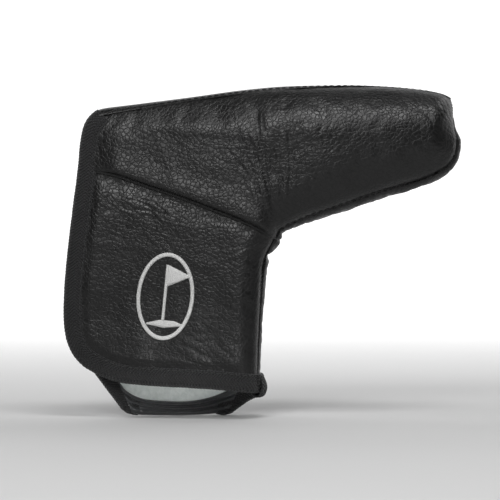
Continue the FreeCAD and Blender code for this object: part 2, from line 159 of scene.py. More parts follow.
CREST_LINE = smooth_line(CREST, 400)
SEAM_LINE = smooth_line(SEAM, 300)
DEPTH_LINE = smooth_line(HALF_DEPTH, 200)
NECK_COUNT, ARM_COUNT, TOE_COUNT = 130, 140, 80
CROTCH_INDEX = NECK_COUNT - 1
TOE_INDEX = CROTCH_INDEX + ARM_COUNT - 1
RIDGE_LINE = join_lines(smooth_line(NECK_RIDGE, NECK_COUNT), smooth_line(ARM_RIDGE, ARM_COUNT),
                        smooth_line(TOE_RIDGE, TOE_COUNT))
RIDGE_ALONG = travelled(RIDGE_LINE)
RIDGE_SHARE = RIDGE_ALONG / RIDGE_ALONG[-1]
CROTCH_SHARE = RIDGE_SHARE[CROTCH_INDEX]
TOE_SHARE = RIDGE_SHARE[TOE_INDEX]

# Along the ridge from hem to toe: half of the gusset's width, and the fullness of the wall there.
GUSSET_HALF = ((0.0, 10.4), (CROTCH_SHARE, 10.6), (0.6, 10.8), (TOE_SHARE, 9.8), (0.90, 7.4),
               (0.945, 2.4), (0.955, 0.6), (1.0, 0.6))
WALL_ROUND = ((0.0, 8.5), (CROTCH_SHARE - 0.08, 9.5), (CROTCH_SHARE + 0.03, 13.0), (0.55, 19.0),
              (TOE_SHARE, 17.0), (0.93, 12.0), (1.0, 9.0))
CREST_ROUND = ((-50, 9.0), (-30, 11.0), (0, 17.0), (35, 25.0), (85, 26.0), (112, 23.0), (126, 16.0))


def table(pairs, at):
    """Interpolate a two-column table."""
    pairs = np.array(pairs, float)
    return np.interp(at, pairs[:, 0], pairs[:, 1])


def crest_height(x):
    """Height of the cover's highest line at x."""
    return np.interp(x, CREST_LINE[:, 0], CREST_LINE[:, 1])


def seam_height(x):
    """Height of the diagonal seam at x."""
    return np.interp(x, SEAM_LINE[:, 0], SEAM_LINE[:, 1])


def nearest_on(line, shares, x, z):
    """Return each point's distance to a line, and where along the line the nearest place is."""
    flat = np.stack((np.ravel(x), np.ravel(z)), axis=1)
    distance = np.empty(len(flat))
    share = np.empty(len(flat))
    for start in range(0, len(flat), 20000):
        part = flat[start:start + 20000]
        apart = np.sqrt(((part[:, None, :] - line[None, :, :]) ** 2).sum(axis=2))
        index = apart.argmin(axis=1)
        distance[start:start + 20000] = apart[np.arange(len(part)), index]
        share[start:start + 20000] = shares[index]
    return distance.reshape(np.shape(x)), share.reshape(np.shape(x))


def quarter(t):
    """Rise of a quarter circle, 0 at 0 and 1 from 1 on."""
    return np.sqrt(np.maximum(0.0, 1.0 - (1.0 - np.clip(t, 0.0, 1.0)) ** 2))


def half_depth(x, z, inset=0.0):
    """Half of the cover's thickness at a place in the XZ plane, for a layer set in by an inset."""
    full = np.interp(x, DEPTH_LINE[:, 0], DEPTH_LINE[:, 1]) - inset
    top = quarter((crest_height(x) - z - inset) / (table(CREST_ROUND, x) - inset))
    distance, share = nearest_on(RIDGE_LINE, RIDGE_SHARE, x, z)
    floor = np.minimum(table(GUSSET_HALF, share) / np.maximum(full, 1.0), 0.98)
    side = floor + (1.0 - floor) * quarter((distance - inset) / (table(WALL_ROUND, share) - inset))
    return np.maximum(full * top * side, 0.05)


# ---------------------------------------------------------------- noise for wrinkles and grain
def lattice(ix, iy, seed):
    """A repeatable number from 0 to 1 for each cell of a lattice."""
    h = (ix.astype(np.int64) * 374761393 + iy.astype(np.int64) * 668265263 + seed * 1442695041)
    h &= 0xFFFFFFFF
    h = ((h ^ (h >> 13)) * 1274126177) & 0xFFFFFFFF
    return ((h ^ (h >> 16)) & 0xFFFFFF) / float(0x1000000)


def noise(x, y, seed):
    """Smooth gradient noise, about -1 to 1, with cells one unit wide."""
    ix, iy = np.floor(x), np.floor(y)
    fx, fy = x - ix, y - iy
    ux, uy = fx ** 3 * (fx * (6 * fx - 15) + 10), fy ** 3 * (fy * (6 * fy - 15) + 10)

    def corner(dx, dy):
        turn = lattice(ix + dx, iy + dy, seed) * 2 * math.pi
        return np.cos(turn) * (fx - dx) + np.sin(turn) * (fy - dy)

    low = corner(0, 0) * (1 - ux) + corner(1, 0) * ux
    high = corner(0, 1) * (1 - ux) + corner(1, 1) * ux
    return 1.5 * (low * (1 - uy) + high * uy)


def folds(x, y, seed):
    """Sharp-bottomed creases between rounded ridges, 0 on the ridges and -1 in the creases."""
    return -(1.0 - np.minimum(1.0, np.abs(noise(x, y, seed)) * 2.2)) ** 2


def bump_at(x, z, centre, size, lean=0.0):
    """A smooth patch from 0 to 1 around a place, with its own width and height."""
    turn = math.radians(lean)
    dx, dz = x - centre[0], z - centre[1]
    a = (dx * math.cos(turn) + dz * math.sin(turn)) / size[0]
    b = (-dx * math.sin(turn) + dz * math.cos(turn)) / size[1]
    return np.exp(-(a * a + b * b))


def turned(x, z, degrees):
    """Coordinates along and across a direction."""
    turn = math.radians(degrees)
    return x * math.cos(turn) + z * math.sin(turn), -x * math.sin(turn) + z * math.cos(turn)


# ---------------------------------------------------------------- grids, panels and folds
def spaced(count, near_start, near_end, width=0.04):
    """Shares from 0 to 1, closer together near the ends."""
    u = np.linspace(0, 1, 2001)
    density = 1 + near_start * np.exp(-u / width) + near_end * np.exp(-(1 - u) / width)
    total = np.concatenate(([0], np.cumsum((density[1:] + density[:-1]) / 2)))
    return np.interp(np.linspace(0, 1, count), total / total[-1], u)


def patch(bottom, top, left, right, us, vs):
    """A Coons patch in the XZ plane between four lines, rows upwards and columns towards +X."""
    b, t = resample_at(bottom, us), resample_at(top, us)
    l, r = resample_at(left, vs), resample_at(right, vs)
    u, v = us[None, :, None], vs[:, None, None]
    return ((1 - v) * b[None] + v * t[None] + (1 - u) * l[:, None] + u * r[:, None]
            - ((1 - u) * (1 - v) * b[0] + u * (1 - v) * b[-1] + (1 - u) * v * t[0] + u * v * t[-1]))


def inset(line, distance):
    """Move a line sideways, to the left of its direction."""
    way = tangents(line)
    return line + distance * np.stack((-way[:, 1], way[:, 0]), axis=1)


def grid_normals(points, sign=1.0):
    """Unit normals of a grid of points."""
    normal = np.cross(np.gradient(points, axis=1), np.gradient(points, axis=0))
    return sign * normal / np.maximum(np.linalg.norm(normal, axis=2), 1e-9)[..., None]


def soften(field, passes):
    """Smooth a grid of vectors or numbers, keeping its edges."""
    for _ in range(passes):
        field = field.copy()
        field[1:-1] = 0.25 * field[:-2] + 0.5 * field[1:-1] + 0.25 * field[2:]
        field[:, 1:-1] = 0.25 * field[:, :-2] + 0.5 * field[:, 1:-1] + 0.25 * field[:, 2:]
    return field


def grid_faces(rows, cols, first=0, wrap=False):
    """Quads of a grid of points, the columns joined round if wrapped."""
    r, c = np.meshgrid(np.arange(rows - 1), np.arange(cols if wrap else cols - 1), indexing="ij")
    n = (c + 1) % cols
    return (np.stack((r * cols + c, r * cols + n, (r + 1) * cols + n, (r + 1) * cols + c), axis=-1)
            .reshape(-1, 4) + first)


def slab(outer, inner):
    """A closed sheet between two grids of the same size, as points in mm and faces."""
    rows, cols = outer.shape[:2]
    count = rows * cols
    index = np.arange(count).reshape(rows, cols)
    loop = np.concatenate((index[0, :-1], index[:-1, -1], index[-1, :0:-1], index[:0:-1, 0]))
    after = np.roll(loop, -1)
    faces = np.vstack((grid_faces(rows, cols), grid_faces(rows, cols, count)[:, ::-1],
                       np.stack((after, loop, loop + count, after + count), axis=1)))
    return np.vstack((outer.reshape(-1, 3), inner.reshape(-1, 3))), faces.tolist()


def make(name, points, faces, material, uv=None):
    """Make a smooth-shaded mesh object from points in mm."""
    mesh = bpy.data.meshes.new(name)
    mesh.from_pydata((np.asarray(points, float).reshape(-1, 3) * MM).tolist(), [], faces)
    if uv is not None:
        layer = mesh.uv_layers.new(name="UVMap")
        corners = np.empty(len(mesh.loops), dtype=np.int32)
        mesh.loops.foreach_get("vertex_index", corners)
        layer.data.foreach_set("uv", np.asarray(uv, np.float32)[corners % len(uv)].ravel())
    mesh.polygons.foreach_set("use_smooth", np.ones(len(mesh.polygons), dtype=bool))
    mesh.materials.append(material)
    made = bpy.data.objects.new(name, mesh)
    bpy.context.scene.collection.objects.link(made)
    work = bmesh.new()
    work.from_mesh(mesh)
    bmesh.ops.recalc_face_normals(work, faces=work.faces)
    work.to_mesh(mesh)
    work.free()
    return made


def together(parts):
    """Join lists of points and faces into one."""
    points, faces, first = [], [], 0
    for part_points, part_faces in parts:
        points.append(np.asarray(part_points, float).reshape(-1, 3))
        faces.extend([[i + first for i in face] for face in part_faces])
        first += len(points[-1])
    return np.vstack(points), faces


def tubes(paths, ups, radius, sides=8, tip=0.45):
    """Round threads along many short paths, with narrowed closed ends."""
    paths, ups = np.asarray(paths, float), np.asarray(ups, float)
    count, rings = paths.shape[:2]
    way = np.gradient(paths, axis=1)
    way /= np.linalg.norm(way, axis=2)[..., None]
    side = np.cross(way, ups[:, None, :])
    side /= np.linalg.norm(side, axis=2)[..., None]
    rise = np.cross(side, way)
    share = np.abs(np.linspace(-1, 1, rings))
    size = radius * (1 - (1 - tip) * share ** 5)
    turn = np.arange(sides) * 2 * math.pi / sides
    ring = (paths[:, :, None, :] + size[None, :, None, None]
            * (np.cos(turn)[None, None, :, None] * side[:, :, None, :]
               + np.sin(turn)[None, None, :, None] * rise[:, :, None, :]))
    each = rings * sides
    one = grid_faces(rings, sides, wrap=True).tolist()
    one += [list(range(sides))[::-1], list(range(each - sides, each))]
    faces = [[i + k * each for i in face] for k in range(count) for face in one]
    return ring.reshape(-1, 3), faces


def left_edge(line, z, distance):
    """X of a left outline, set in by a distance, at a height."""
    moved = inset(line, distance)
    order = np.argsort(moved[:, 1])
    return np.interp(z, moved[order, 1], moved[order, 0])


FRONT_LEFT_LINE = smooth_line(FRONT_LEFT, 300)
FRONT_HEM_LINE = smooth_line(FRONT_HEM, 160)
FRONT_EDGE = join_lines(FRONT_LEFT_LINE, FRONT_HEM_LINE)
BACK_LEFT_LINE = smooth_line(BACK_LEFT, 300)
BACK_LOW_LINE = join_lines(smooth_line(BACK_TAIL, 120), smooth_line(BACK_RISE, 60))
BACK_EDGE = join_lines(BACK_LEFT_LINE, BACK_LOW_LINE)
TOP_SEAM_LINE = smooth_line(TOP_SEAM, 300)

# The bound edges of the front and of the back as 300 points, and about how far along each point is.
EDGE_LINES = {True: resample(FRONT_EDGE, 300), False: resample(BACK_EDGE, 300)}
EDGE_PLACES = np.linspace(0, 240, 300)


def seam_offset(x, z):
    """Distance above the diagonal seam, with a minus below it."""
    slope = np.interp(x, SEAM_LINE[:, 0], np.gradient(SEAM_LINE[:, 1], SEAM_LINE[:, 0]))
    return (z - seam_height(x)) / np.sqrt(1 + slope ** 2)


def ramp(t, low, high):
    """A smooth step from 0 at low to 1 at high."""
    t = np.clip((t - low) / (high - low), 0, 1)
    return t * t * (3 - 2 * t)


# Long creases that fan out from the crotch: foot, head, depth, width and bow, in mm.
CREASES = (((45.5, 75.0), (27.5, 127.0), 0.42, 0.9, 2.0),
           ((46.5, 77.0), (35.5, 128.0), 0.46, 1.0, -1.2),
           ((48.0, 80.0), (43.0, 121.0), 0.36, 0.8, 1.4),
           ((42.0, 78.0), (20.5, 113.0), 0.30, 0.8, 2.4),
           ((51.5, 79.0), (55.0, 112.0), 0.32, 0.9, -1.6),
           ((38.5, 84.0), (31.0, 108.0), 0.26, 0.7, 0.8),
           ((55.0, 83.0), (66.5, 104.0), 0.26, 0.8, 1.2),
           ((41.5, 92.0), (39.5, 131.0), 0.24, 0.7, -0.8),
           ((52.0, 96.0), (49.5, 126.0), 0.26, 0.7, 0.9))
CREASE_DEPTH = 0.6


def creased(x, z):
    """The long creases, each a narrow valley between two low ridges."""
    out = np.zeros_like(x)
    for (x0, z0), (x1, z1), depth, width, bow in CREASES:
        length = math.hypot(x1 - x0, z1 - z0)
        ux, uz = (x1 - x0) / length, (z1 - z0) / length
        t = ((x - x0) * ux + (z - z0) * uz) / length
        away = -(x - x0) * uz + (z - z0) * ux + bow * np.sin(math.pi * t)
        away = away + 0.5 * noise(x / 6.0, z / 6.0, 77)
        fade = np.sin(math.pi * np.clip(t, 0, 1)) ** 0.6
        beside = (np.abs(away) - 2.1 * width) / (1.3 * width)
        valley = -np.exp(-(away / width) ** 2) + 0.45 * np.exp(-beside ** 2)
        out = out + CREASE_DEPTH * depth * valley * fade
    return out


def relief(x, z, front, upper):
    """How far the padded leather stands out from its even surface, in mm: seams, folds, creases."""
    seed = 0 if front else 50
    ridge, share = nearest_on(RIDGE_LINE, RIDGE_SHARE, x, z)
    place = share * RIDGE_ALONG[-1]
    edge, edge_place = nearest_on(EDGE_LINES[front], EDGE_PLACES, x, z)
    if not front:
        edge = np.where((x > -18) & (z < 0) & (x < 20), edge + 6, edge)
    s = seam_offset(x, z)
    left = 1 - ramp(x, 36, 47)
    out = 0.55 * noise(x / 31, z / 27, seed + 3) + 0.24 * noise(x / 12, z / 10, seed + 4)
    out = out + 0.08 * noise(x / 4.6, z / 4.2, seed + 5)
    out = out + 0.07 * noise(place / 5.2, ridge / 30, seed + 6) * np.exp(-ridge / 8)
    gathers = 0.32 * noise(edge_place / 6.0, edge / 30, seed + 7)
    out = out + gathers * np.exp(-np.maximum(edge - 7, 0) / 7)
    out = out * (1 - np.exp(-ridge / 1.3)) * (0.25 + 0.75 * ramp(edge, 6.5, 11))
    out = out - 0.45 * (1 - quarter((edge - 6.4) / 4.5))
    if upper:
        top = crest_height(x) - z
        roll = 3.2 * quarter(s / 2.4) * np.exp(-(np.maximum(s - 2.0, 0) / 12) ** 2)
        out = out + left * (roll + 0.1) * (0.12 + 0.88 * ramp(edge, 6.8, 20))
        out = out + 0.10 * noise(x / 5.0, z / 60, seed + 8) * np.exp(-np.maximum(top - 2, 0) / 7)
        spread = np.hypot(x - 49, z - 50)
        angle = np.degrees(np.arctan2(x - 49, z - 50))
        wander = 1.1 * noise(x / 17, z / 15, seed + 9)
        fan = folds(angle / 4.2 + wander, spread / 55, seed + 11)
        out = out + creased(x, z) + 0.16 * fan * bump_at(x, z, (38, 105), (15, 29))
        fine = folds(angle / 2.1 + 2 * wander, spread / 26, seed + 21)
        out = out + 0.07 * fine * bump_at(x, z, (44, 98), (18, 26))
        crackle = 0.30 * folds(x / 5.4 + wander, z / 4.4, seed + 12)
        out = out + crackle * bump_at(x, z, (60, 118), (15, 10))
        out = out + 0.26 * noise(x / 6.6, z / 5.2, seed + 13) * bump_at(x, z, (97, 125), (27, 12))
        a, b = turned(x, z, -48)
        out = out + 0.24 * folds(a / 8.0, b / 3.0, seed + 14) * bump_at(x, z, (120, 126), (9, 11))
        under_arm = 0.18 * folds(x / 7.0, z / 5.0 + wander, seed + 22)
        out = out + under_arm * bump_at(x, z, (78, 100), (26, 11))
    else:
        out = out - left * (0.9 * np.exp(-(s / 20) ** 2) + 0.6 * ramp(s, -1.2, 1.0))
        a, b = turned(x, z, -19)
        out = out + 0.42 * folds(a / 8.5, b / 2.5, seed + 15) * bump_at(x, z, (-13, 83), (19, 7))
        spread = np.hypot(x - 47, z - 72)
        angle = np.degrees(np.arctan2(x - 47, z - 72))
        out = out + 0.22 * folds(angle / 10, spread / 30, seed + 16) * bump_at(x, z, (33, 60), (13, 14))
        out = out + 0.30 * noise(x / 11, z / 46, seed + 17)
        out = out + 0.30 * folds(x / 12.0, z / 7.0, seed + 18) * bump_at(x, z, (8, 22), (22, 14))
    return out


CLOTH_ENLARGED = 5
CLOTH_STEPS = 22
CLOTH_PRESSURE = 3.0
CLOTH_CAP = 1.3


def settle(name, coarse, side, slack):
    """Let a leather panel, sewn down at its edges, take up its slack over the padding.

    Returns how far each point of the coarse grid moves, in mm.
    """
    rows, cols = coarse.shape[:2]
    scale = CLOTH_ENLARGED * MM
    faces = grid_faces(rows, cols)
    mesh = bpy.data.meshes.new(name)
    mesh.from_pydata((coarse.reshape(-1, 3) * scale).tolist(), [],
                     (faces if side < 0 else faces[:, ::-1]).tolist())
    cloth = bpy.data.objects.new(name, mesh)
    scene = bpy.context.scene
    scene.collection.objects.link(cloth)
    sewn = cloth.vertex_groups.new(name="sewn")
    index = np.arange(rows * cols).reshape(rows, cols)
    border = np.concatenate((index[0], index[-1], index[:, 0], index[:, -1]))
    sewn.add(np.unique(border).tolist(), 1.0, "REPLACE")
    modifier = cloth.modifiers.new("cloth", "CLOTH")
    settings = modifier.settings
    settings.quality = 6
    settings.mass = 0.3
    settings.tension_stiffness = settings.compression_stiffness = 18
    settings.shear_stiffness = 8
    settings.bending_stiffness = 0.35
    settings.air_damping = 2.0
    settings.vertex_group_mass = "sewn"
    settings.use_pressure = True
    settings.uniform_pressure_force = CLOTH_PRESSURE
    settings.shrink_min = -slack
    settings.effector_weights.gravity = 0
    modifier.collision_settings.use_collision = False
    modifier.collision_settings.use_self_collision = False
    modifier.point_cache.frame_start, modifier.point_cache.frame_end = 1, CLOTH_STEPS
    for step in range(1, CLOTH_STEPS + 1):
        scene.frame_set(step)
    settled = cloth.evaluated_get(bpy.context.evaluated_depsgraph_get()).to_mesh()
    place = np.empty(rows * cols * 3)
    settled.vertices.foreach_get("co", place)
    bpy.data.objects.remove(cloth, do_unlink=True)
    scene.frame_set(1)
    moved = np.nan_to_num(place.reshape(rows, cols, 3) / scale - coarse)
    size = np.linalg.norm(moved, axis=2)[..., None]
    return moved * (CLOTH_CAP * np.tanh(size / CLOTH_CAP) / np.maximum(size, 1e-6))


def spread_over(moved, coarse_us, coarse_vs, us, vs, passes=8):
    """Carry a coarse grid's moves to a fine one."""
    wide = np.empty((moved.shape[0], len(us), 3))
    fine = np.empty((len(vs), len(us), 3))
    for k in range(3):
        for row in range(moved.shape[0]):
            wide[row, :, k] = np.interp(us, coarse_us, moved[row, :, k])
        for col in range(len(us)):
            fine[:, col, k] = np.interp(vs, coarse_vs, wide[:, col, k])
    return soften(fine, passes)


def left_between(outline, distance, low, high, count):
    """A panel's left line, set in by a distance, between its low and high corners."""
    z = np.linspace(low[1], high[1], count)
    left = np.stack((left_edge(outline, z, distance), z), axis=1)
    left[0], left[-1] = low, high
    return left


def seam_between(outline, distance, end):
    """The diagonal seam from a left outline, set in by a distance, to just short of an X."""
    start = left_edge(outline, SEAM_START_HEIGHT, distance)
    seam = SEAM_LINE[(SEAM_LINE[:, 0] > start + 0.5) & (SEAM_LINE[:, 0] < end - 0.5)]
    return np.vstack(([[start, seam_height(start)]], seam))


def upper_lines(front, distance):
    """Bottom, top, left and right lines of the upper panel, set in by a distance."""
    outline = FRONT_LEFT_LINE if front else BACK_LEFT_LINE
    ridge = inset(RIDGE_LINE, distance)
    inner = max(distance, 1.2)
    seam = seam_between(outline, inner, ridge[CROTCH_INDEX, 0])
    bottom = np.vstack((seam, ridge[CROTCH_INDEX:TOE_INDEX + 1]))
    right = ridge[TOE_INDEX:].copy()
    if front and distance == 0:
        end = left_edge(outline, 125.3, inner)
        top = TOP_SEAM_LINE[TOP_SEAM_LINE[:, 0] > end]
    else:
        end = left_edge(outline, 127.0 - distance, inner)
        x = np.linspace(end, min(right[-1, 0], 128.6 - distance), 300)
        top = np.stack((x, crest_height(x) - distance), axis=1)
    right = right[right[:, 1] < top[-1, 1]]
    right = np.vstack((right, top[-1:]))
    return bottom, top, left_between(outline, inner, bottom[0], top[0], 120), right


def lower_lines(front, distance, lap=1.6):
    """Bottom, top, left and right lines of the lower panel, set in by a distance."""
    outline = FRONT_LEFT_LINE if front else BACK_LEFT_LINE
    hem = FRONT_HEM_LINE if front else BACK_LOW_LINE
    inner = max(distance, 1.0)
    ridge = inset(RIDGE_LINE, distance)[:NECK_COUNT]
    bottom = inset(hem, inner)
    bottom = bottom[(bottom[:, 0] > bottom[0, 0]) | (np.arange(len(bottom)) == 0)]
    right = ridge[ridge[:, 1] > bottom[-1, 1]]
    bottom = bottom[bottom[:, 0] < right[0, 0]]
    right = np.vstack((bottom[-1:], right))
    top = np.vstack((seam_between(outline, inner, ridge[-1, 0]), ridge[-1:]))
    top[:, 1] += lap * (1 - ramp(top[:, 0], 34, 43))
    return bottom, top, left_between(outline, inner, bottom[0], top[0], 300), right


UPPER_TALL = 58.0


def panel(name, front, upper, step):
    """The outside grid of one leather panel."""
    side = side_of(front)
    lines = upper_lines(front, 0.0) if upper else lower_lines(front, 0.0)
    wide = np.linalg.norm(np.diff(lines[0], axis=0), axis=1).sum()
    tall = UPPER_TALL if upper else np.linalg.norm(np.diff(lines[2], axis=0), axis=1).sum()
    us = spaced(int(wide / step), 0.2, 3.5 if upper else 5.0, 0.03)
    vs = spaced(int(tall / step), 2.0, 2.5 if upper else 0.8, 0.04)

    def surface(u, v):
        flat = patch(*lines, u, v)
        x, z = flat[..., 0], flat[..., 1]
        even = np.stack((x, side * half_depth(x, z), z), axis=-1)
        out = grid_normals(even, -side)
        return even + out * relief(x, z, front, upper)[..., None]

    fine = surface(us, vs)
    coarse_us = spaced(int(wide / 2.6), 0, 1.0, 0.05)
    coarse_vs = spaced(int(tall / 2.3), 0.5, 0.5, 0.05)
    moved = settle(name + "_cloth", surface(coarse_us, coarse_vs), side, 0.022 if upper else 0.03)
    moved = spread_over(moved, coarse_us, coarse_vs, us, vs)
    x, z = fine[..., 0], fine[..., 2]
    edge, _ = nearest_on(EDGE_LINES[front], EDGE_PLACES, x, z)
    ridge, _ = nearest_on(RIDGE_LINE, RIDGE_SHARE, x, z)
    free = ramp(edge, 7.5, 13.0) * ramp(ridge, 1.5, 12.0) * ramp(crest_height(x) - z, 2.0, 14.0)
    if upper:
        above = ramp(seam_offset(x, z), 5.0, 20.0)
        free = 0.8 * free * (above + (1 - above) * ramp(x, 36, 50))
    else:
        free = free * (1 - np.exp(-(np.minimum(seam_offset(x, z), 0) / 6.0) ** 2))
    return fine + moved * free[..., None]


def rolled(grid, side, radius, fade):
    """Add rows below a grid's first, turned under in a half circle, the radius fading by column."""
    base = grid[0]
    down = tangents(base[:, [0, 2]])
    down = np.stack((down[:, 1], np.zeros(len(base)), -down[:, 0]), axis=1)
    size = (radius * fade)[:, None]
    inwards = np.array([0.0, -side, 0.0])
    rows = []
    steps = 7
    for step in range(steps, 0, -1):
        turn = math.pi * step / steps
        rows.append(base + down * size * math.sin(turn) + inwards * size * (1 - math.cos(turn)))
    return np.vstack((np.array(rows), grid))


def thin(grid, side, amount):
    """The inner face of a sheet whose outer face is the grid."""
    normal = grid_normals(grid, -side)
    inner = grid - normal * amount
    middle = side * 0.05
    inner[..., 1] = np.maximum(inner[..., 1], middle) if side > 0 else np.minimum(inner[..., 1], middle)
    return inner


# ---------------------------------------------------------------- materials
class Surface:
    """A procedural material, with short calls for its nodes."""

    def __init__(self, name, rough, sheen=0.0, specular=0.5):
        self.made = bpy.data.materials.new(name)
        self.made.use_nodes = True
        self.tree = self.made.node_tree
        self.shader = self.tree.nodes["Principled BSDF"]
        self.shader.inputs["Roughness"].default_value = rough
        self.shader.inputs["Sheen Weight"].default_value = sheen
        self.shader.inputs["Specular IOR Level"].default_value = specular
        self.place = self.tree.nodes.new("ShaderNodeTexCoord")

    def node(self, kind, values=None, **settings):
        made = self.tree.nodes.new(kind)
        for key, value in settings.items():
            setattr(made, key, value)
        for key, value in (values or {}).items():
            if isinstance(value, bpy.types.NodeSocket):
                self.tree.links.new(value, made.inputs[key])
            else:
                made.inputs[key].default_value = value
        return made

    def noise(self, scale, detail=3.0, distort=0.0, where=None):
        return self.node("ShaderNodeTexNoise", {
            "Vector": where or self.place.outputs["Object"], "Scale": scale, "Detail": detail,
            "Distortion": distort}).outputs["Fac"]

    def cells(self, scale, feature="F1", where=None, smooth=0.0):
        made = self.node("ShaderNodeTexVoronoi", {
            "Vector": where or self.place.outputs["Object"], "Scale": scale}, feature=feature)
        if feature == "SMOOTH_F1":
            made.inputs["Smoothness"].default_value = smooth
        return made.outputs["Distance"]

    def math(self, kind, a, b=0.0, c=None):
        values = {0: a, 1: b}
        if c is not None:
            values[2] = c
        return self.node("ShaderNodeMath", values, operation=kind).outputs[0]

    def mixed(self, *parts):
        """Sum of values, each given with its weight."""
        total = None
        for value, weight in parts:
            part = value if weight == 1 else self.math("MULTIPLY", value, weight)
            total = part if total is None else self.math("ADD", total, part)
        return total

    def wave(self, value, length):
        """A sine wave of a length."""
        return self.math("SINE", self.math("MULTIPLY", value, 2 * math.pi / length))

    def span(self, value, low, high, to_low=0.0, to_high=1.0):
        return self.node("ShaderNodeMapRange", {
            "Value": value, "From Min": low, "From Max": high, "To Min": to_low,
            "To Max": to_high}).outputs[0]

    def colour(self, share, low, high):
        mix = self.node("ShaderNodeMix", data_type="RGBA")
        self.tree.links.new(share, mix.inputs[0])
        mix.inputs[6].default_value = (*low, 1)
        mix.inputs[7].default_value = (*high, 1)
        self.tree.links.new(mix.outputs[2], self.shader.inputs["Base Color"])
        return mix.outputs[2]

    def rough(self, value):
        self.tree.links.new(value, self.shader.inputs["Roughness"])

    def bump(self, height, distance, strength=1.0):
        last = self.shader.inputs["Normal"].links
        made = self.node("ShaderNodeBump", {"Height": height, "Distance": distance, "Strength": strength})
        if last:
            self.tree.links.new(last[0].from_socket, made.inputs["Normal"])
        self.tree.links.new(made.outputs[0], self.shader.inputs["Normal"])


def leather_material(name, shine=0.0, dark=1.0):
    """Pebbled black leather: rounded grain, creases between the pebbles, fine pores, worn highs; painted
    shade darkens the creases.
    """
    m = Surface(name, 0.42, sheen=0.0, specular=0.45)
    place = m.place.outputs["Object"]
    shift = m.node("ShaderNodeTexNoise", {"Vector": place, "Scale": 210.0, "Detail": 2.0})
    scaled = m.node("ShaderNodeVectorMath", {0: shift.outputs["Color"]}, operation="SCALE")
    scaled.inputs["Scale"].default_value = 0.0024
    moved = m.node("ShaderNodeVectorMath", {0: place, 1: scaled.outputs[0]}, operation="ADD").outputs[0]
    big = m.cells(500, "SMOOTH_F1", moved, 0.5)
    small = m.cells(980, "SMOOTH_F1", moved, 0.3)
    edges = m.cells(500, "DISTANCE_TO_EDGE", moved)
    crease_bump_and_shade = m.span(edges, 0.0, 0.13)
    patchy = m.noise(38, 3.0)
    height = m.mixed((big, -0.5), (small, -0.22), (crease_bump_and_shade, 0.35))
    m.bump(m.noise(150, 2.0, 0.4), 0.0005, 0.35)
    m.bump(height, 0.00026, 0.75)
    m.bump(m.noise(4200, 2.0), 0.00003, 0.3)
    wear = m.node("ShaderNodeNewGeometry").outputs["Pointiness"]
    worn = m.span(wear, 0.5, 0.62)
    # Colour: random patches, lighter worn edges, and painted shade darkening the creases between the
    # pebbles.
    tone = m.mixed((patchy, 0.55), (worn, 0.35), (m.math("SUBTRACT", crease_bump_and_shade, 1.0), 0.35))
    m.colour(tone, (0.0022 * dark, 0.0022 * dark, 0.0023 * dark),
             (0.0095 * dark, 0.0092 * dark, 0.009 * dark))
    m.rough(m.math("ADD", m.span(m.noise(75, 4.0), 0.25, 0.75, 0.44 - shine, 0.33 - shine),
                   m.span(crease_bump_and_shade, 0.0, 1.0, 0.16, 0.0)))
    return m.made


# The tape's ribs, in mm: their spacing, how far each slants before it turns back, and how steeply.
RIB_PITCH = 1.5
RIB_TURN = 3.8
RIB_SLANT = 0.9


def twill_material(name):
    """Black woven tape: slanted ribs that change direction, with threads crossing them."""
    m = Surface(name, 0.72, sheen=0.12, specular=0.35)
    parts = m.node("ShaderNodeSeparateXYZ", {0: m.place.outputs["UV"]})
    u, v = parts.outputs[0], parts.outputs[1]
    slant = m.math("MULTIPLY", m.math("PINGPONG", v, RIB_TURN), RIB_SLANT)
    ribs = m.wave(m.math("ADD", u, slant), RIB_PITCH)
    height = m.mixed((ribs, 0.6), (m.wave(v, 0.42), 0.25), (m.wave(u, 0.36), 0.15))
    m.bump(height, 0.00035, 0.9)
    m.bump(m.noise(5200, 2.0), 0.00006, 0.6)
    # Colour: random tone, plus painted highlight on the rib tops and painted shade in the grooves,
    # following the ribs' height.
    tone = m.mixed((m.span(height, -1, 1, 0.0, 0.7), 1), (m.noise(90, 2.0), 0.4))
    m.colour(tone, (0.0015, 0.0015, 0.0018), (0.024, 0.024, 0.025))
    m.rough(m.span(m.noise(600, 3.0), 0.3, 0.7, 0.62, 0.82))
    return m.made


def cloth_material(name, low, high, fuzz, sheen):
    """Brushed knit or pile, with nap clumps and fine fibres."""
    m = Surface(name, 0.92, sheen=sheen, specular=0.25)
    nap = m.noise(fuzz, 4.0, 0.6)
    fibre = m.noise(fuzz * 6, 3.0)
    knit = m.cells(1500, "F1")
    m.bump(nap, 0.0004, 0.5)
    m.bump(m.mixed((fibre, 1), (knit, 0.5)), 0.00012, 0.8)
    # Colour: painted highlight, lighter on the raised nap clumps and fibres that the bumps raise.
    m.colour(m.mixed((m.span(nap, 0.3, 0.7, 0.0, 0.6), 1), (fibre, 0.4)), low, high)
    m.rough(m.span(fibre, 0.3, 0.7, 0.85, 0.98))
    return m.made


def foam_material(name):
    """Pale open-cell foam."""
    m = Surface(name, 0.95, specular=0.2)
    pores = m.cells(900, "F1")
    m.bump(pores, 0.0005, 0.9)
    m.bump(m.noise(300, 3.0), 0.0004, 0.4)
    # Colour: painted shade, darker in the pore hollows, with random tone.
    m.colour(m.mixed((pores, 1), (m.noise(60, 2.0), 0.3)), (0.30, 0.29, 0.26), (0.62, 0.61, 0.57))
    m.rough(m.span(pores, 0.0, 0.6, 0.98, 0.88))
    return m.made


def facing_material(name):
    """Smooth dark coated facing, glossier and paler than the leather, its colour lifted further as painted
    light where the hem shades it.
    """
    m = Surface(name, 0.36, sheen=0.2, specular=0.5)
    m.bump(m.noise(330, 3.0, 0.5), 0.0006, 0.35)
    m.bump(m.cells(1500, "SMOOTH_F1", None, 0.3), 0.00012, 0.5)
    # The colour is paler than the facing's own, as painted light that offsets the shade under the hem.
    m.colour(m.noise(70, 3.0), (0.018, 0.019, 0.020), (0.040, 0.042, 0.044))
    m.rough(m.span(m.noise(160, 3.0), 0.3, 0.7, 0.3, 0.44))
    return m.made


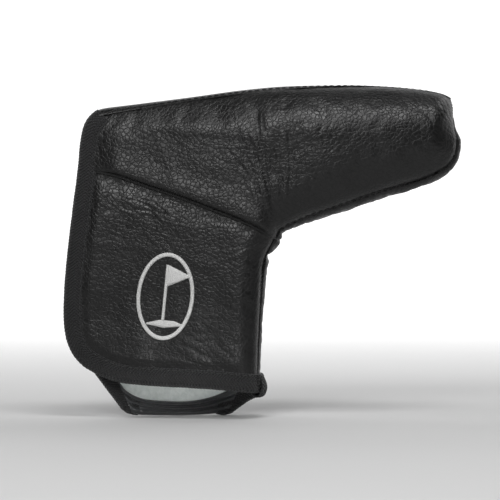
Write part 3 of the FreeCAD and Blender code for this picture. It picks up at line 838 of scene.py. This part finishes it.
def thread_material(name, low, high, rough, strand, sheen):
    """Twisted sewing thread, the strands winding slantwise."""
    m = Surface(name, rough, sheen=sheen, specular=0.45)
    parts = m.node("ShaderNodeSeparateXYZ", {0: m.place.outputs["Object"]})
    slant = m.mixed((parts.outputs[0], 1), (parts.outputs[1], 1), (parts.outputs[2], 0.8))
    twist = m.wave(slant, strand * MM)
    fibre = m.noise(4200, 2.0)
    m.bump(m.mixed((twist, 1), (fibre, 0.8)), 0.00006, 0.8)
    # Colour: painted highlight on the strand crests and painted shade between the strands, following the
    # twist, with random tone.
    m.colour(m.mixed((m.span(twist, -1, 1, 0.1, 0.6), 1), (fibre, 0.4)), low, high)
    m.rough(m.span(fibre, 0.3, 0.7, rough - 0.06, rough + 0.1))
    return m.made


LEATHER = leather_material("leather_pebbled")
GUSSET_LEATHER = leather_material("leather_gusset", shine=-0.04, dark=0.85)
TWILL = twill_material("twill_tape")
# The lining's grey is set paler than its own colour, as painted light that offsets the shade of the front
# hem over it.
LINING_PAINTED_PALE = cloth_material("lining_grey_painted_pale", (0.56, 0.61, 0.59), (0.80, 0.84, 0.82), 420, 0.25)
FOAM = foam_material("foam_pale")
FACING = facing_material("facing_coated")
THREAD = thread_material("thread_black", (0.006, 0.006, 0.006), (0.03, 0.03, 0.031), 0.5, 0.5, 0.1)
WHITE = thread_material("thread_white", (0.62, 0.62, 0.61), (0.86, 0.86, 0.85), 0.42, 0.3, 0.2)
HOOK = thread_material("hook_nylon", (0.008, 0.008, 0.009), (0.03, 0.03, 0.032), 0.4, 0.8, 0.0)
LOOP = cloth_material("loop_pile", (0.008, 0.008, 0.009), (0.035, 0.035, 0.037), 900, 0.3)


def add(name, mesh, material, nodes, front, uv=None):
    """Make a piece from points and faces, hide its CAD nodes, and tie it to the cover's body unless it is
    at the front.
    """
    made = make(name, *mesh, material, uv)
    if front:
        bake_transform(made)
    else:
        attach(made, "cover")
    if nodes:
        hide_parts(*nodes)
    return made


# ---------------------------------------------------------------- leather panels
ROLL_RADIUS = 1.35
SKIVED_THICK = 0.35


def build_upper(name, front, step, nodes):
    """The upper panel, rolled over along the seam; the back one also turns over the crest."""
    side = side_of(front)
    fine = panel(name, front, True, step)
    fade = np.maximum(1 - ramp(fine[0, :, 0], 40, 47), 0.12)
    if not front:
        columns = fine[-1, :, 0]
        low = np.interp(columns, TOP_SEAM_LINE[:, 0], TOP_SEAM_LINE[:, 1])
        high = crest_height(columns)
        rows = []
        for share in 1 - np.cos(np.linspace(0.02, 1, 26) * math.pi / 2):
            z = high + (low - high) * share
            stand = 0.55 * quarter((1 - share) / 0.35) + 0.10 * noise(columns / 4.2, z / 9, 71)
            y = -half_depth(columns, z) - stand * ramp(share, 0.02, 0.3)
            rows.append(np.stack((columns, y, z), axis=-1))
        over = np.array(rows)
        fine[-1] = np.stack((columns, np.zeros(len(columns)), high), axis=-1)
        fine = np.vstack((fine, over))
    outer = rolled(fine, side, ROLL_RADIUS, fade)
    if front:
        inner = thin(outer, side, LEATHER_THICK)
    else:
        inner = outer - grid_normals(outer, -1.0) * SKIVED_THICK
    add(name, slab(outer, inner), LEATHER, nodes, front)
    return outer


def build_lower(name, front, step, nodes):
    """The lower panel, tucked under the upper one's rolled edge."""
    fine = panel(name, front, False, step)
    inner = thin(fine, side_of(front), LEATHER_THICK)
    return add(name, slab(fine, inner), LEATHER, nodes, front)


FRONT_STEP = 0.45
BACK_STEP = 0.6
build_upper("front_upper_panel", True, FRONT_STEP, ("front_toe_leather", "flap_toe_leather"))
front_neck = build_lower("front_neck_panel", True, FRONT_STEP, ("front_neck_leather", "flap_neck_leather"))
BACK_UPPER_GRID = build_upper("back_upper_panel", False, BACK_STEP, ("back_toe_leather",))
build_lower("back_neck_panel", False, BACK_STEP, ("back_neck_leather",))


# ---------------------------------------------------------------- gusset along the underside
# How far the gusset stands out along the ridge, with a knot of folds at the crotch.
GUSSET_BULGE = ((0.0, 1.4), (0.14, 1.5), (0.28, 1.8), (CROTCH_SHARE - 0.058, 2.0),
                (CROTCH_SHARE - 0.043, 0.5), (CROTCH_SHARE - 0.030, 2.5), (CROTCH_SHARE - 0.012, 3.6),
                (CROTCH_SHARE + 0.004, 3.4), (CROTCH_SHARE + 0.022, 2.0), (0.5, 3.2), (0.62, 3.6),
                (TOE_SHARE, 3.5), (0.86, 3.3), (0.90, 2.7), (0.93, 1.2), (0.96, 0.3), (1.0, 0.1))


def gusset_grid(distance, low, high, count, across, wrinkled=True):
    """A strip between the two ridge seams, set in by a distance."""
    shares = low + (high - low) * np.linspace(0, 1, count)
    line = resample_at(RIDGE_LINE, shares)
    way = soften(tangents(line)[:, None, :], 6)[:, 0]
    out = np.stack((way[:, 1], -way[:, 0]), axis=1)
    half = table(GUSSET_HALF, shares)
    bulge = table(GUSSET_BULGE, shares)
    t = 0.5 - 0.5 * np.cos(np.linspace(0, 1, across) * math.pi)
    y = (2 * t[:, None] - 1) * (half - distance * 0.4)[None, :]
    crown = quarter(np.minimum(t, 1 - t) * 2 / 0.62)[:, None]
    move = bulge[None, :] * crown - distance
    if wrinkled:
        place = shares * RIDGE_ALONG[-1]
        pinch = np.exp(-((shares - CROTCH_SHARE) / 0.05) ** 2)
        fold = folds(place[None, :] / 6.5, y / 22, 31) * (0.25 + 0.9 * pinch)[None, :]
        soft = 0.35 * noise(place[None, :] / 9, y / 12, 32) + 0.12 * noise(place[None, :] / 3.4, y / 4, 33)
        gather = 0.3 * noise(place[None, :] / 3.8, y / 60, 34) * (1 - crown ** 2)
        move = move + (fold + soft) * crown + gather * crown
    flat = line[None] + out[None] * move[..., None]
    return np.stack((flat[..., 0], y, flat[..., 1]), axis=-1)


GUSSET_SIZE = (0.0, 0.962, 760, 54)
add("gusset_panel", slab(gusset_grid(0.0, *GUSSET_SIZE), gusset_grid(LEATHER_THICK, *GUSSET_SIZE)),
    GUSSET_LEATHER, ("gusset_leather",), False)


# ---------------------------------------------------------------- padding and lining
def layer(front, upper, outer_in, inner_in, us, vs, margin, seed, pinch=0.0):
    """Outer and inner grids of a layer that lies inside a panel."""
    side = side_of(front)
    lines = upper_lines(front, margin) if upper else lower_lines(front, margin, 0.0)
    flat = patch(*lines, us, vs)
    x, z = flat[..., 0], flat[..., 1]
    ripple = 0.18 * noise(x / 14, z / 12, seed)
    outer = half_depth(x, z, outer_in) + ripple
    outer = np.minimum(outer, half_depth(x, z) + np.minimum(relief(x, z, front, upper), 0) - 1.35)
    inner = np.maximum(half_depth(x, z, inner_in) + ripple * 0.8, 0.12)
    if pinch:
        wide, tall = (160, 45) if upper else (90, 100)
        edge = np.minimum(np.minimum(us, 1 - us)[None, :] * wide, np.minimum(vs, 1 - vs)[:, None] * tall)
        middle = (outer + inner) / 2
        open_by = 0.12 + 0.88 * quarter(edge / pinch)
        outer, inner = middle + (outer - middle) * open_by, middle + (inner - middle) * open_by
    inner = np.minimum(inner, outer - 0.1)
    return (np.stack((x, side * outer, z), axis=-1), np.stack((x, side * inner, z), axis=-1))


def build_pad(name, front, nodes):
    """The foam behind both panels of one side, thinner towards its edges."""
    parts = []
    for upper in (True, False):
        us, vs = spaced(110, 0.6, 1.5, 0.05), spaced(56, 0.8, 0.8, 0.05)
        outer, inner = layer(front, upper, PAD_OUTER, PAD_INNER, us, vs, 2.4, 81, 5.0)
        parts.append(slab(outer, inner))
    made = add(name, together(parts), FOAM, nodes, front)
    return made


def area_of(grid):
    """Area of a grid in square metres."""
    a, b = np.diff(grid, axis=1)[:-1], np.diff(grid, axis=0)[:, :-1]
    return float(np.linalg.norm(np.cross(a, b), axis=2).sum() * MM * MM)


def build_lining(name, front, nodes):
    """The lining behind one side's foam; its area is summed but not used."""
    parts, area = [], 0.0
    for upper in (True, False):
        us, vs = spaced(150, 0.3, 1.5, 0.05), spaced(80, 0.6, 0.6, 0.05)
        outer, inner = layer(front, upper, LINING_OUTER, LINING_INNER, us, vs, 3.7, 83)
        parts.append(slab(outer, inner))
        area += area_of(inner)
    made = add(name, together(parts), LINING_PAINTED_PALE, nodes, front)
    return made


front_pad = build_pad("front_padding", True, ("front_foam", "flap_foam"))
back_pad = build_pad("back_padding", False, ("back_foam",))
build_lining("front_lining_sheet", True, ("front_lining", "flap_lining"))
build_lining("back_lining_sheet", False, ("back_lining",))

PAD_SIZE = (0.01, 0.90, 300, 26, False)
gusset_pad = add("gusset_padding", slab(gusset_grid(1.6, *PAD_SIZE), gusset_grid(3.4, *PAD_SIZE)),
                 FOAM, ("gusset_foam",), False)
LINING_SIZE = (0.005, 0.89, 300, 26, False)
inner = gusset_grid(4.45, *LINING_SIZE)
gusset_lining = add("gusset_lining_sheet", slab(gusset_grid(3.6, *LINING_SIZE), inner),
                    LINING_PAINTED_PALE, ("gusset_lining",), False)


# ---------------------------------------------------------------- twill bindings
def folded(outside, inside, away, reach):
    """Grids of places outside and inside an edge, joined round the edge by a half turn."""
    first, last = outside[:, -1], inside[:, 0]
    middle, half = (first + last) / 2, (first - last) / 2
    turn = np.linspace(0, math.pi, 20)[1:-1]
    tip = (middle[:, None] + half[:, None] * np.cos(turn)[None, :, None]
           + (away * reach)[:, None] * np.sin(turn)[None, :, None])
    return np.concatenate((outside, tip, inside), axis=1)


def across_tape(base):
    """Distance across a tape at each point of its grid."""
    gap = np.linalg.norm(np.diff(base, axis=1), axis=2)
    return np.concatenate((np.zeros((len(base), 1)), np.cumsum(gap, axis=1)), axis=1)


def tape(name, base, normal, along, across, thick, detail, nodes, front):
    """Give a folded tape its thickness, ribs and further detail, and return its outer grid."""
    edge = np.minimum(across, across[:, -1:] - across)
    zig = np.abs((across % (2 * RIB_TURN)) - RIB_TURN)
    rib = 0.13 * np.sin((along + RIB_SLANT * zig) * 2 * math.pi / RIB_PITCH)
    lift = thick * quarter(edge / 0.7) + (rib + detail) * ramp(edge, 0.1, 0.9)
    outer = base + normal * lift[..., None]
    uv = np.stack((np.broadcast_to(along, across.shape), across), axis=-1).reshape(-1, 2)
    add(name, slab(outer, base - normal * 0.05), TWILL, nodes, front, uv)
    return outer


def tape_spacing(width, under):
    """Distances from the edge across a tape's outside and its inside."""
    return width * (1 - spaced(46, 0.6, 2.5, 0.08)), under * spaced(22, 2.5, 0.5, 0.08)


def bind(name, line, front, width, under, thick, reach, nodes):
    """A folded tape round an edge: out at the front, round the edge, and back on the inside."""
    outer_at, inner_at = edge_places(line, front)
    over, back = tape_spacing(width, under)
    a, b = outer_at(over), inner_at(back)
    away = a[:, -1] - outer_at(np.array([1.5]))[:, 0]
    away[:, 1] = 0
    away /= np.maximum(np.linalg.norm(away, axis=1)[:, None], 1e-6)
    size = np.linalg.norm((a[:, -1] - b[:, 0]) / 2, axis=1)[:, None]
    base = folded(a, b, away * size, reach)
    normal = grid_normals(base.transpose(1, 0, 2)).transpose(1, 0, 2)
    centre = (a[:, 10] + b[:, 10]) / 2
    if np.mean(np.sum(normal[:, 10] * (a[:, 10] - centre), axis=1)) < 0:
        normal = -normal
    across = across_tape(base)
    along = travelled(base[:, 20])[:, None]
    edge = np.minimum(across, across[:, -1:] - across)
    selvedge = 0.10 * np.exp(-((edge - 0.7) / 0.35) ** 2)
    sewn = -0.22 * np.exp(-((across - 1.4) / 0.45) ** 2)
    wavy = 0.10 * noise(along / 9.0, across / 5.0, 41) + 0.05 * noise(along / 3.0, across / 3.0, 42)
    return tape(name, base, normal, along, across, thick, selvedge + sewn + wavy, nodes, front)


def edge_places(line, front):
    """Functions that give the outer and inner places beside an outline, for bind."""
    side = side_of(front)
    way = soften(tangents(line)[:, None, :], 4)[:, 0]
    inward = np.stack((-way[:, 1], way[:, 0]), axis=1)

    def places(distances, drop):
        flat = line[:, None, :] + inward[:, None, :] * np.asarray(distances)[None, :, None]
        x, z = flat[..., 0], flat[..., 1]
        depth = half_depth(np.maximum(x, -60), np.minimum(z, crest_height(x) - 0.4)) - drop
        return np.stack((x, side * np.maximum(depth, 0.25), z), axis=-1)

    return (lambda d: places(d, 0.75)), (lambda d: places(d, 4.0))


def bound_line(edge, count, passes, distance):
    """An edge with its corners rounded, set in by a distance."""
    line = resample(edge, count)
    line = np.stack((soften(line[:, :1], passes)[:, 0], soften(line[:, 1:], passes)[:, 0]), axis=1)
    return inset(line, distance)


TAIL_START = np.array(((-27.6, -12.0), (-25.2, -13.6), (-20.8, -14.3)))
TAIL_CORNER = ((16.8, -12.9), (19.6, -13.5), (22.6, -12.9), (26.0, -10.6), (31.0, -7.2), (36.6, -4.4))
FRONT_BINDING_GRID = bind("front_tape_binding", bound_line(FRONT_EDGE, 640, 60, 1.6), True,
                          BINDING_WIDTH, 6.0, 0.95, 0.75, ("front_binding",))
BACK_BINDING_GRID = bind("back_tape_binding",
                         bound_line(join_lines(BACK_LEFT_LINE, TAIL_START), 520, 40, 1.2), False,
                         BINDING_WIDTH, 4.8, 1.0, 0.8, ("back_binding",))
BACK_CORNER_GRID = bind("back_corner_binding", smooth_line(TAIL_CORNER, 120), False,
                        6.4, 4.6, 1.1, 0.8, ())


def gusset_places(distances, depth):
    """Places across the gusset at distances up from its hem, at a depth below its surface."""
    line = resample_at(RIDGE_LINE, np.asarray(distances) / RIDGE_ALONG[-1])
    y = np.linspace(-10.2, 10.2, 70)
    crown = quarter((10.8 - np.abs(y)) / 6.0)
    flare = 2.2 * np.exp(-((np.asarray(distances) - 2.0) / 4.0) ** 2)
    out = (1.3 + flare)[None, :] * crown[:, None] - depth
    return np.stack((line[None, :, 0] + out, np.broadcast_to(y[:, None], (70, len(line))),
                     np.broadcast_to(line[None, :, 1], (70, len(line)))), axis=-1)


def bind_gusset():
    """The tape round the gusset's hem."""
    over, back = tape_spacing(8.2, 6.0)
    base = folded(gusset_places(over, -0.1), gusset_places(back, 3.6), np.array([[0.0, 0.0, -1.0]]), 1.6)
    normal = grid_normals(base)
    if np.mean(normal[:, 10, 0]) < 0:
        normal = -normal
    across = across_tape(base)
    along = np.linspace(0, 21, len(base))[:, None]
    sewn = -0.2 * np.exp(-((across - 1.4) / 0.45) ** 2)
    return tape("gusset_tape_binding", base, normal, along, across, 1.0, sewn, ("gusset_binding",), False)


GUSSET_BINDING_GRID = bind_gusset()


# ---------------------------------------------------------------- tail facing
# The facing: its depth, half its width where it turns over the edge, how far it hangs there,
# its thickness and the height of its folds, in mm.
FACING_DEPTH = 5.1
FACING_WRAP = 3.0
FACING_HANG = 1.2
FACING_THICK = 0.7
FACING_FOLD = 0.75


def facing_grid(drop):
    """The coated facing inside the tail, in long folds, and turned over the bottom edge."""
    low = np.array([p for p in resample(BACK_LOW_LINE, 200) if -24.0 < p[0] < 24.0])
    low[:, 1] += 0.3
    high = smooth_line(FACING_TOP, 160)
    us, vs = spaced(170, 0.5, 0.5, 0.05), np.linspace(0, 1, 60)
    left, right = np.linspace(low[0], high[0], 30), np.linspace(low[-1], high[-1], 30)
    flat = patch(low, high, left, right, us, vs)
    x, z = flat[..., 0], flat[..., 1]
    v, u = vs[:, None], us[None, :]
    lines = np.sin((v * 2.6 + 0.10 * noise(u * 5, v * 2, 61)) * 2 * math.pi)
    fold = FACING_FOLD * (0.95 * lines * np.sin(math.pi * u) ** 0.5 + 0.3 * noise(u * 14, v * 3, 62))
    roll = 0.7 * FACING_FOLD * np.exp(-((v - 0.94) / 0.05) ** 2)
    y = half_depth(x, z) - FACING_DEPTH - fold - roll - drop
    inside = np.stack((x, y, z), axis=-1)
    first = inside[0]
    turn = np.linspace(0, math.pi, 16)[1:]
    wrap = [np.stack((first[:, 0], first[:, 1] + (FACING_WRAP + drop) * (1 - np.cos(t)),
                      first[:, 2] - (FACING_HANG + drop) * np.sin(t)), axis=-1) for t in turn]
    outside = [wrap[-1] + np.array([0, 0.0, 0.5 * k]) for k in range(1, 8)]
    return np.vstack((np.array(outside[::-1]), np.array(wrap[::-1]), inside))


add("tail_facing", slab(facing_grid(0.0), facing_grid(-FACING_THICK)), FACING,
    ("hem_facing",), False)


# ---------------------------------------------------------------- hook and loop strips
STRIP_WIDE = 13.0
STRIP_TALL = 59.5
STRIP_CORNER = 2.0
STRIP_LEAN = math.radians(5.5)
HOOK_RADIUS = 0.11


def leaned(middle, a, b):
    """X and Z of a place given across and along a leaning strip."""
    return (middle[0] + a * math.cos(STRIP_LEAN) - b * math.sin(STRIP_LEAN),
            middle[2] + a * math.sin(STRIP_LEAN) + b * math.cos(STRIP_LEAN))


def hooks(middle, back_y, face):
    """Rows of bent nylon hooks."""
    paths, ups = [], []
    for row in range(40):
        for column in range(9):
            a = (column - 4) * 1.35 + (0.3 if row % 2 else -0.3)
            b = (row - 19.5) * 1.45
            if abs(b) > STRIP_TALL / 2 - 1 or abs(a) > STRIP_WIDE / 2 - 0.8:
                continue
            bend = 0.35 if (row + column) % 2 else -0.35
            path = []
            for t in np.linspace(0, 1, 6):
                x, z = leaned(middle, a + bend * math.sin(t * 2.4), b + 0.1 * t)
                path.append((x, back_y + face * (0.35 + 0.72 * math.sin(t * 1.9)), z))
            paths.append(path)
            ups.append((0.0, 0.0, 1.0))
    return tubes(paths, ups, HOOK_RADIUS, 6, 0.7)


def rounded(values, others, half, other_half):
    """Coordinates along one side of a strip, pulled in where its corners are rounded."""
    past = np.maximum(np.abs(values) - (half - STRIP_CORNER), 0)
    other_past = np.maximum(np.abs(others) - (other_half - STRIP_CORNER), 0)
    radius = np.sqrt(past ** 2 + other_past ** 2)
    pull = np.where(radius > STRIP_CORNER, STRIP_CORNER / np.maximum(radius, 1e-6), 1)
    inner = np.minimum(np.abs(values), half - STRIP_CORNER)
    return np.sign(values) * (inner + past * pull)


def build_strip(name, node, hooked, material):
    """A leaning strip: a woven base with hooks that face the front, or pile that faces the back."""
    low, high = (np.array(end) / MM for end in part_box(node))
    middle = (low + high) / 2
    half_wide, half_tall = STRIP_WIDE / 2, STRIP_TALL / 2
    u = (spaced(60, 1.5, 1.5, 0.05) - 0.5) * STRIP_WIDE
    v = (spaced(200, 1.0, 1.0, 0.03) - 0.5) * STRIP_TALL
    u, v = np.meshgrid(u, v)
    u, v = rounded(u, v, half_wide, half_tall), rounded(v, u, half_tall, half_wide)
    x, z = leaned(middle, u, v)
    face = -1.0 if hooked else 1.0
    back_y = high[1] if hooked else low[1]
    edge = np.minimum(half_wide - np.abs(u), half_tall - np.abs(v))
    if hooked:
        rise = 0.45 * quarter(edge / 0.5) + 0.05 * np.sin(u * 6) * np.sin(v * 6)
    else:
        pile = 0.85 + 0.22 * noise(u / 0.9, v / 0.9, 91) + 0.12 * noise(u / 3, v / 3, 92)
        rise = pile * quarter(edge / 0.8)
    top = np.stack((x, back_y + face * rise, z), axis=-1)
    bottom = np.stack((x, np.full_like(x, back_y), z), axis=-1)
    parts = [slab(top, bottom)]
    if hooked:
        parts.append(hooks(middle, back_y, face))
    add(name, together(parts), material, (node,), not hooked)


build_strip("hook_strip", "hook_tape", True, HOOK)
build_strip("loop_strip", "loop_tape", False, LOOP)


# ---------------------------------------------------------------- stitches
STITCH = 2.5
STITCH_GAP = 0.75
STITCH_RISE = 0.34
STITCH_SINK = 0.22
STITCH_INSET = 1.9


def stitch_paths(line, normals, seed):
    """Short raised stitches along a line of places: their paths and which way is up."""
    along = travelled(line)
    paths, ups = [], []
    rings = 9
    arch = np.sin(np.linspace(0, math.pi, rings)) ** 0.6
    for k in range(int(along[-1] / (STITCH + STITCH_GAP))):
        start = k * (STITCH + STITCH_GAP) + STITCH_GAP / 2 + 0.12 * math.sin(k * 2.7 + seed)
        at = np.linspace(start, start + STITCH, rings)
        up = np.stack([np.interp(at, along, normals[:, i]) for i in range(3)], axis=1)
        paths.append(places_at(line, at) + up * (arch * STITCH_RISE - STITCH_SINK)[:, None])
        ups.append(up.mean(axis=0))
    return paths, ups


def stitch_line(grid):
    """The places and normals along a binding's grid, at the stitches' distance from its first edge."""
    distance = travelled(grid[len(grid) // 2])
    column = int(np.argmin(np.abs(distance - STITCH_INSET)))
    line, up = grid[:, column], grid_normals(grid)[:, column]
    if np.mean(up[:, 1] * np.sign(line[:, 1])) < 0:
        up = -up
    return line[4:-3], up[4:-3]


def build_stitches(name, rows, node, front, radius=0.3):
    """One piece of stitches along several lines."""
    paths, ups = [], []
    for number, (line, up) in enumerate(rows):
        more_paths, more_ups = stitch_paths(line, up, number)
        paths += more_paths
        ups += more_ups
    add(name, tubes(paths, ups, radius, 8, 0.6), THREAD, (node,), front)


build_stitches("front_binding_stitches", [stitch_line(FRONT_BINDING_GRID)], "front_binding_stitch", True)
build_stitches("back_binding_stitches",
               [stitch_line(grid) for grid in (BACK_BINDING_GRID, BACK_CORNER_GRID, GUSSET_BINDING_GRID)],
               "back_binding_stitch", False)
TOP_ROW = -9
row, up = BACK_UPPER_GRID[TOP_ROW], grid_normals(BACK_UPPER_GRID, -1.0)[TOP_ROW]
sewn = (row[:, 0] > -33) & (row[:, 0] < 122)
build_stitches("top_seam_stitches", [(row[sewn], up[sewn])], "top_seam_stitch", False, 0.27)


# ---------------------------------------------------------------- emblem in raised satin stitch
leather = front_neck.data
LEATHER_TREE = BVHTree.FromPolygons([v.co.copy() for v in leather.vertices],
                                    [tuple(p.vertices) for p in leather.polygons])
SWAY = math.radians(6.0)
CENTRE = (-7.0, 42.0)
OVAL = (13.5, 20.5)
BORDER_RISE = 0.5
POLE_RISE = 0.45


def leather_y(x, z):
    """The leather's depth at a place on the front of the neck."""
    hit = LEATHER_TREE.ray_cast(Vector((x * MM, -0.08, z * MM)), Vector((0, 1, 0)))
    return hit[0].y / MM if hit[0] is not None else -12.0


def satin(ends, rise):
    """Raised threads from place to place on the leather, for pairs of (x, z) ends."""
    paths = []
    for k, (a, b) in enumerate(ends):
        path = []
        for t in np.linspace(0, 1, 7):
            x, z = a[0] + (b[0] - a[0]) * t, a[1] + (b[1] - a[1]) * t
            lift = rise * math.sin(math.pi * min(max(t, 0.02), 0.98)) ** 0.45 - 0.05
            path.append((x, leather_y(x, z) - lift - 0.03 * math.sin(k * 1.9), z))
        paths.append(path)
    return paths


def oval_point(angle, less):
    """A place on the leaning oval, set in by an amount."""
    x, z = (OVAL[0] - less) * math.cos(angle), (OVAL[1] - less) * math.sin(angle)
    return (CENTRE[0] + x * math.cos(SWAY) + z * math.sin(SWAY),
            CENTRE[1] - x * math.sin(SWAY) + z * math.cos(SWAY))


def fill(low, high, count):
    """Thread ends between a low line and a high line."""
    low, high = resample(np.array(low, float), count), resample(np.array(high, float), count)
    return [((a[0], a[1]), (b[0] + 0.15, b[1])) for a, b in zip(low, high)]


THREADS = satin([(oval_point(t, -0.15), oval_point(t + 0.012, 1.65))
                 for t in np.linspace(0, 2 * math.pi, 300, endpoint=False)], BORDER_RISE)
THREADS += satin(fill(((-8.9, 31.0), (-6.4, 56.8)), ((-7.7, 31.2), (-5.2, 56.6)), 76), POLE_RISE)
THREADS += satin(fill(((-6.0, 46.6), (4.6, 51.0)), ((-5.0, 56.6), (4.7, 51.6)), 34), BORDER_RISE)
THREADS += satin(fill(((-16.0, 29.0), (-8.0, 27.2), (1.5, 28.0)),
                      ((-15.9, 29.6), (-10.0, 31.0), (-3.0, 30.4), (1.6, 28.4)), 52), BORDER_RISE)
add("emblem_threads", tubes(THREADS, [(0.0, -1.0, 0.0)] * len(THREADS), 0.26, 7, 0.6), WHITE,
    ("emblem",), True)


# ---------------------------------------------------------------- floor, lights and camera
FLOOR = float(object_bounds()[0][2])


def studio():
    """A pale floor that curves up into a far wall; the paper glows as painted light, faintly near the
    object and brightly towards the wall.
    """
    profile = [(-3.2, 0.0), (-1.5, 0.0), (0.0, 0.0), (1.2, 0.0)]
    bend = np.linspace(0.1, math.pi / 2, 14)
    profile += [(1.2 + 0.6 * math.sin(t), 0.6 - 0.6 * math.cos(t)) for t in bend]
    profile += [(1.8, 1.4), (1.8, 2.6)]
    points = [(x, y, FLOOR + z) for y, z in profile for x in np.linspace(-3.2, 3.2, 9)]
    mesh = bpy.data.meshes.new("studio_floor")
    mesh.from_pydata(points, [], grid_faces(len(profile), 9).tolist())
    mesh.polygons.foreach_set("use_smooth", np.ones(len(mesh.polygons), dtype=bool))
    m = Surface("studio_paper", 0.85, specular=0.2)
    m.colour(m.noise(3.0, 3.0), (0.50, 0.50, 0.50), (0.54, 0.54, 0.54))
    m.bump(m.noise(400, 2.0), 0.0002, 0.2)
    # Painted light: the paper glows, its emission rising with distance from the object towards the wall.
    m.shader.inputs["Emission Color"].default_value = (1, 1, 1, 1)
    far = m.node("ShaderNodeSeparateXYZ", {0: m.place.outputs["Object"]}).outputs[1]
    m.tree.links.new(m.span(far, 0.05, 1.3, 0.06, 0.85), m.shader.inputs["Emission Strength"])
    mesh.materials.append(m.made)
    made = bpy.data.objects.new("studio_floor", mesh)
    bpy.context.scene.collection.objects.link(made)


studio()


def lamp(light, place, target, power):
    """Place a light and turn it to its target."""
    light.energy = power
    made = bpy.data.objects.new(light.name, light)
    made.location = place
    made.rotation_euler = (Vector(target) - Vector(place)).to_track_quat("-Z", "Y").to_euler()
    bpy.context.scene.collection.objects.link(made)


def softbox(name, place, target, size, power):
    """A rectangular area light."""
    light = bpy.data.lights.new(name, "AREA")
    light.shape = "RECTANGLE"
    light.size, light.size_y = size
    lamp(light, place, target, power)


softbox("key_softbox", (-0.24, -1.08, 0.72), (0.03, 0, 0.08), (0.42, 0.36), 7.5)
softbox("top_softbox", (0.20, -0.50, 0.92), (0.05, 0, 0.10), (0.40, 0.26), 4.5)
softbox("fill_softbox", (1.1, -0.9, 0.45), (0.03, 0, 0.06), (0.9, 0.9), 0.1)
low_spot = bpy.data.lights.new("low_spot", "SPOT")
low_spot.spot_size = math.radians(4.6)
low_spot.spot_blend = 0.9
low_spot.shadow_soft_size = 0.03
lamp(low_spot, (-0.02, -0.9, -0.004), (0.0, 0.01, -0.006), 15)
softbox("wall_left", (-1.6, 0.9, 1.7), (-0.4, 1.8, 0.3), (1.0, 1.0), 10)
softbox("wall_right", (1.6, 0.9, 1.7), (0.4, 1.8, 0.3), (1.0, 1.0), 10)

# The surroundings look as pale as the floor, but light the object only dimly.
world = bpy.data.worlds.new("studio_world")
bpy.context.scene.world = world
world.use_nodes = True
tree = world.node_tree
path = tree.nodes.new("ShaderNodeLightPath")
strength = tree.nodes.new("ShaderNodeMapRange")
tree.links.new(path.outputs["Is Camera Ray"], strength.inputs["Value"])
strength.inputs["To Min"].default_value = 0.02
strength.inputs["To Max"].default_value = 0.9
tree.nodes["Background"].inputs["Color"].default_value = (0.97, 0.98, 1.0, 1)
tree.links.new(strength.outputs[0], tree.nodes["Background"].inputs["Strength"])

camera_data = bpy.data.cameras.new("camera")
camera_data.sensor_width = 36
camera_data.lens = 153.2
camera = bpy.data.objects.new("camera", camera_data)
camera.location = (0.0329, -1.015, 0.0639)
camera.rotation_euler = (math.radians(90), 0, 0)
bpy.context.scene.collection.objects.link(camera)
bpy.context.scene.camera = camera

bpy.context.scene.view_settings.view_transform = "Standard"
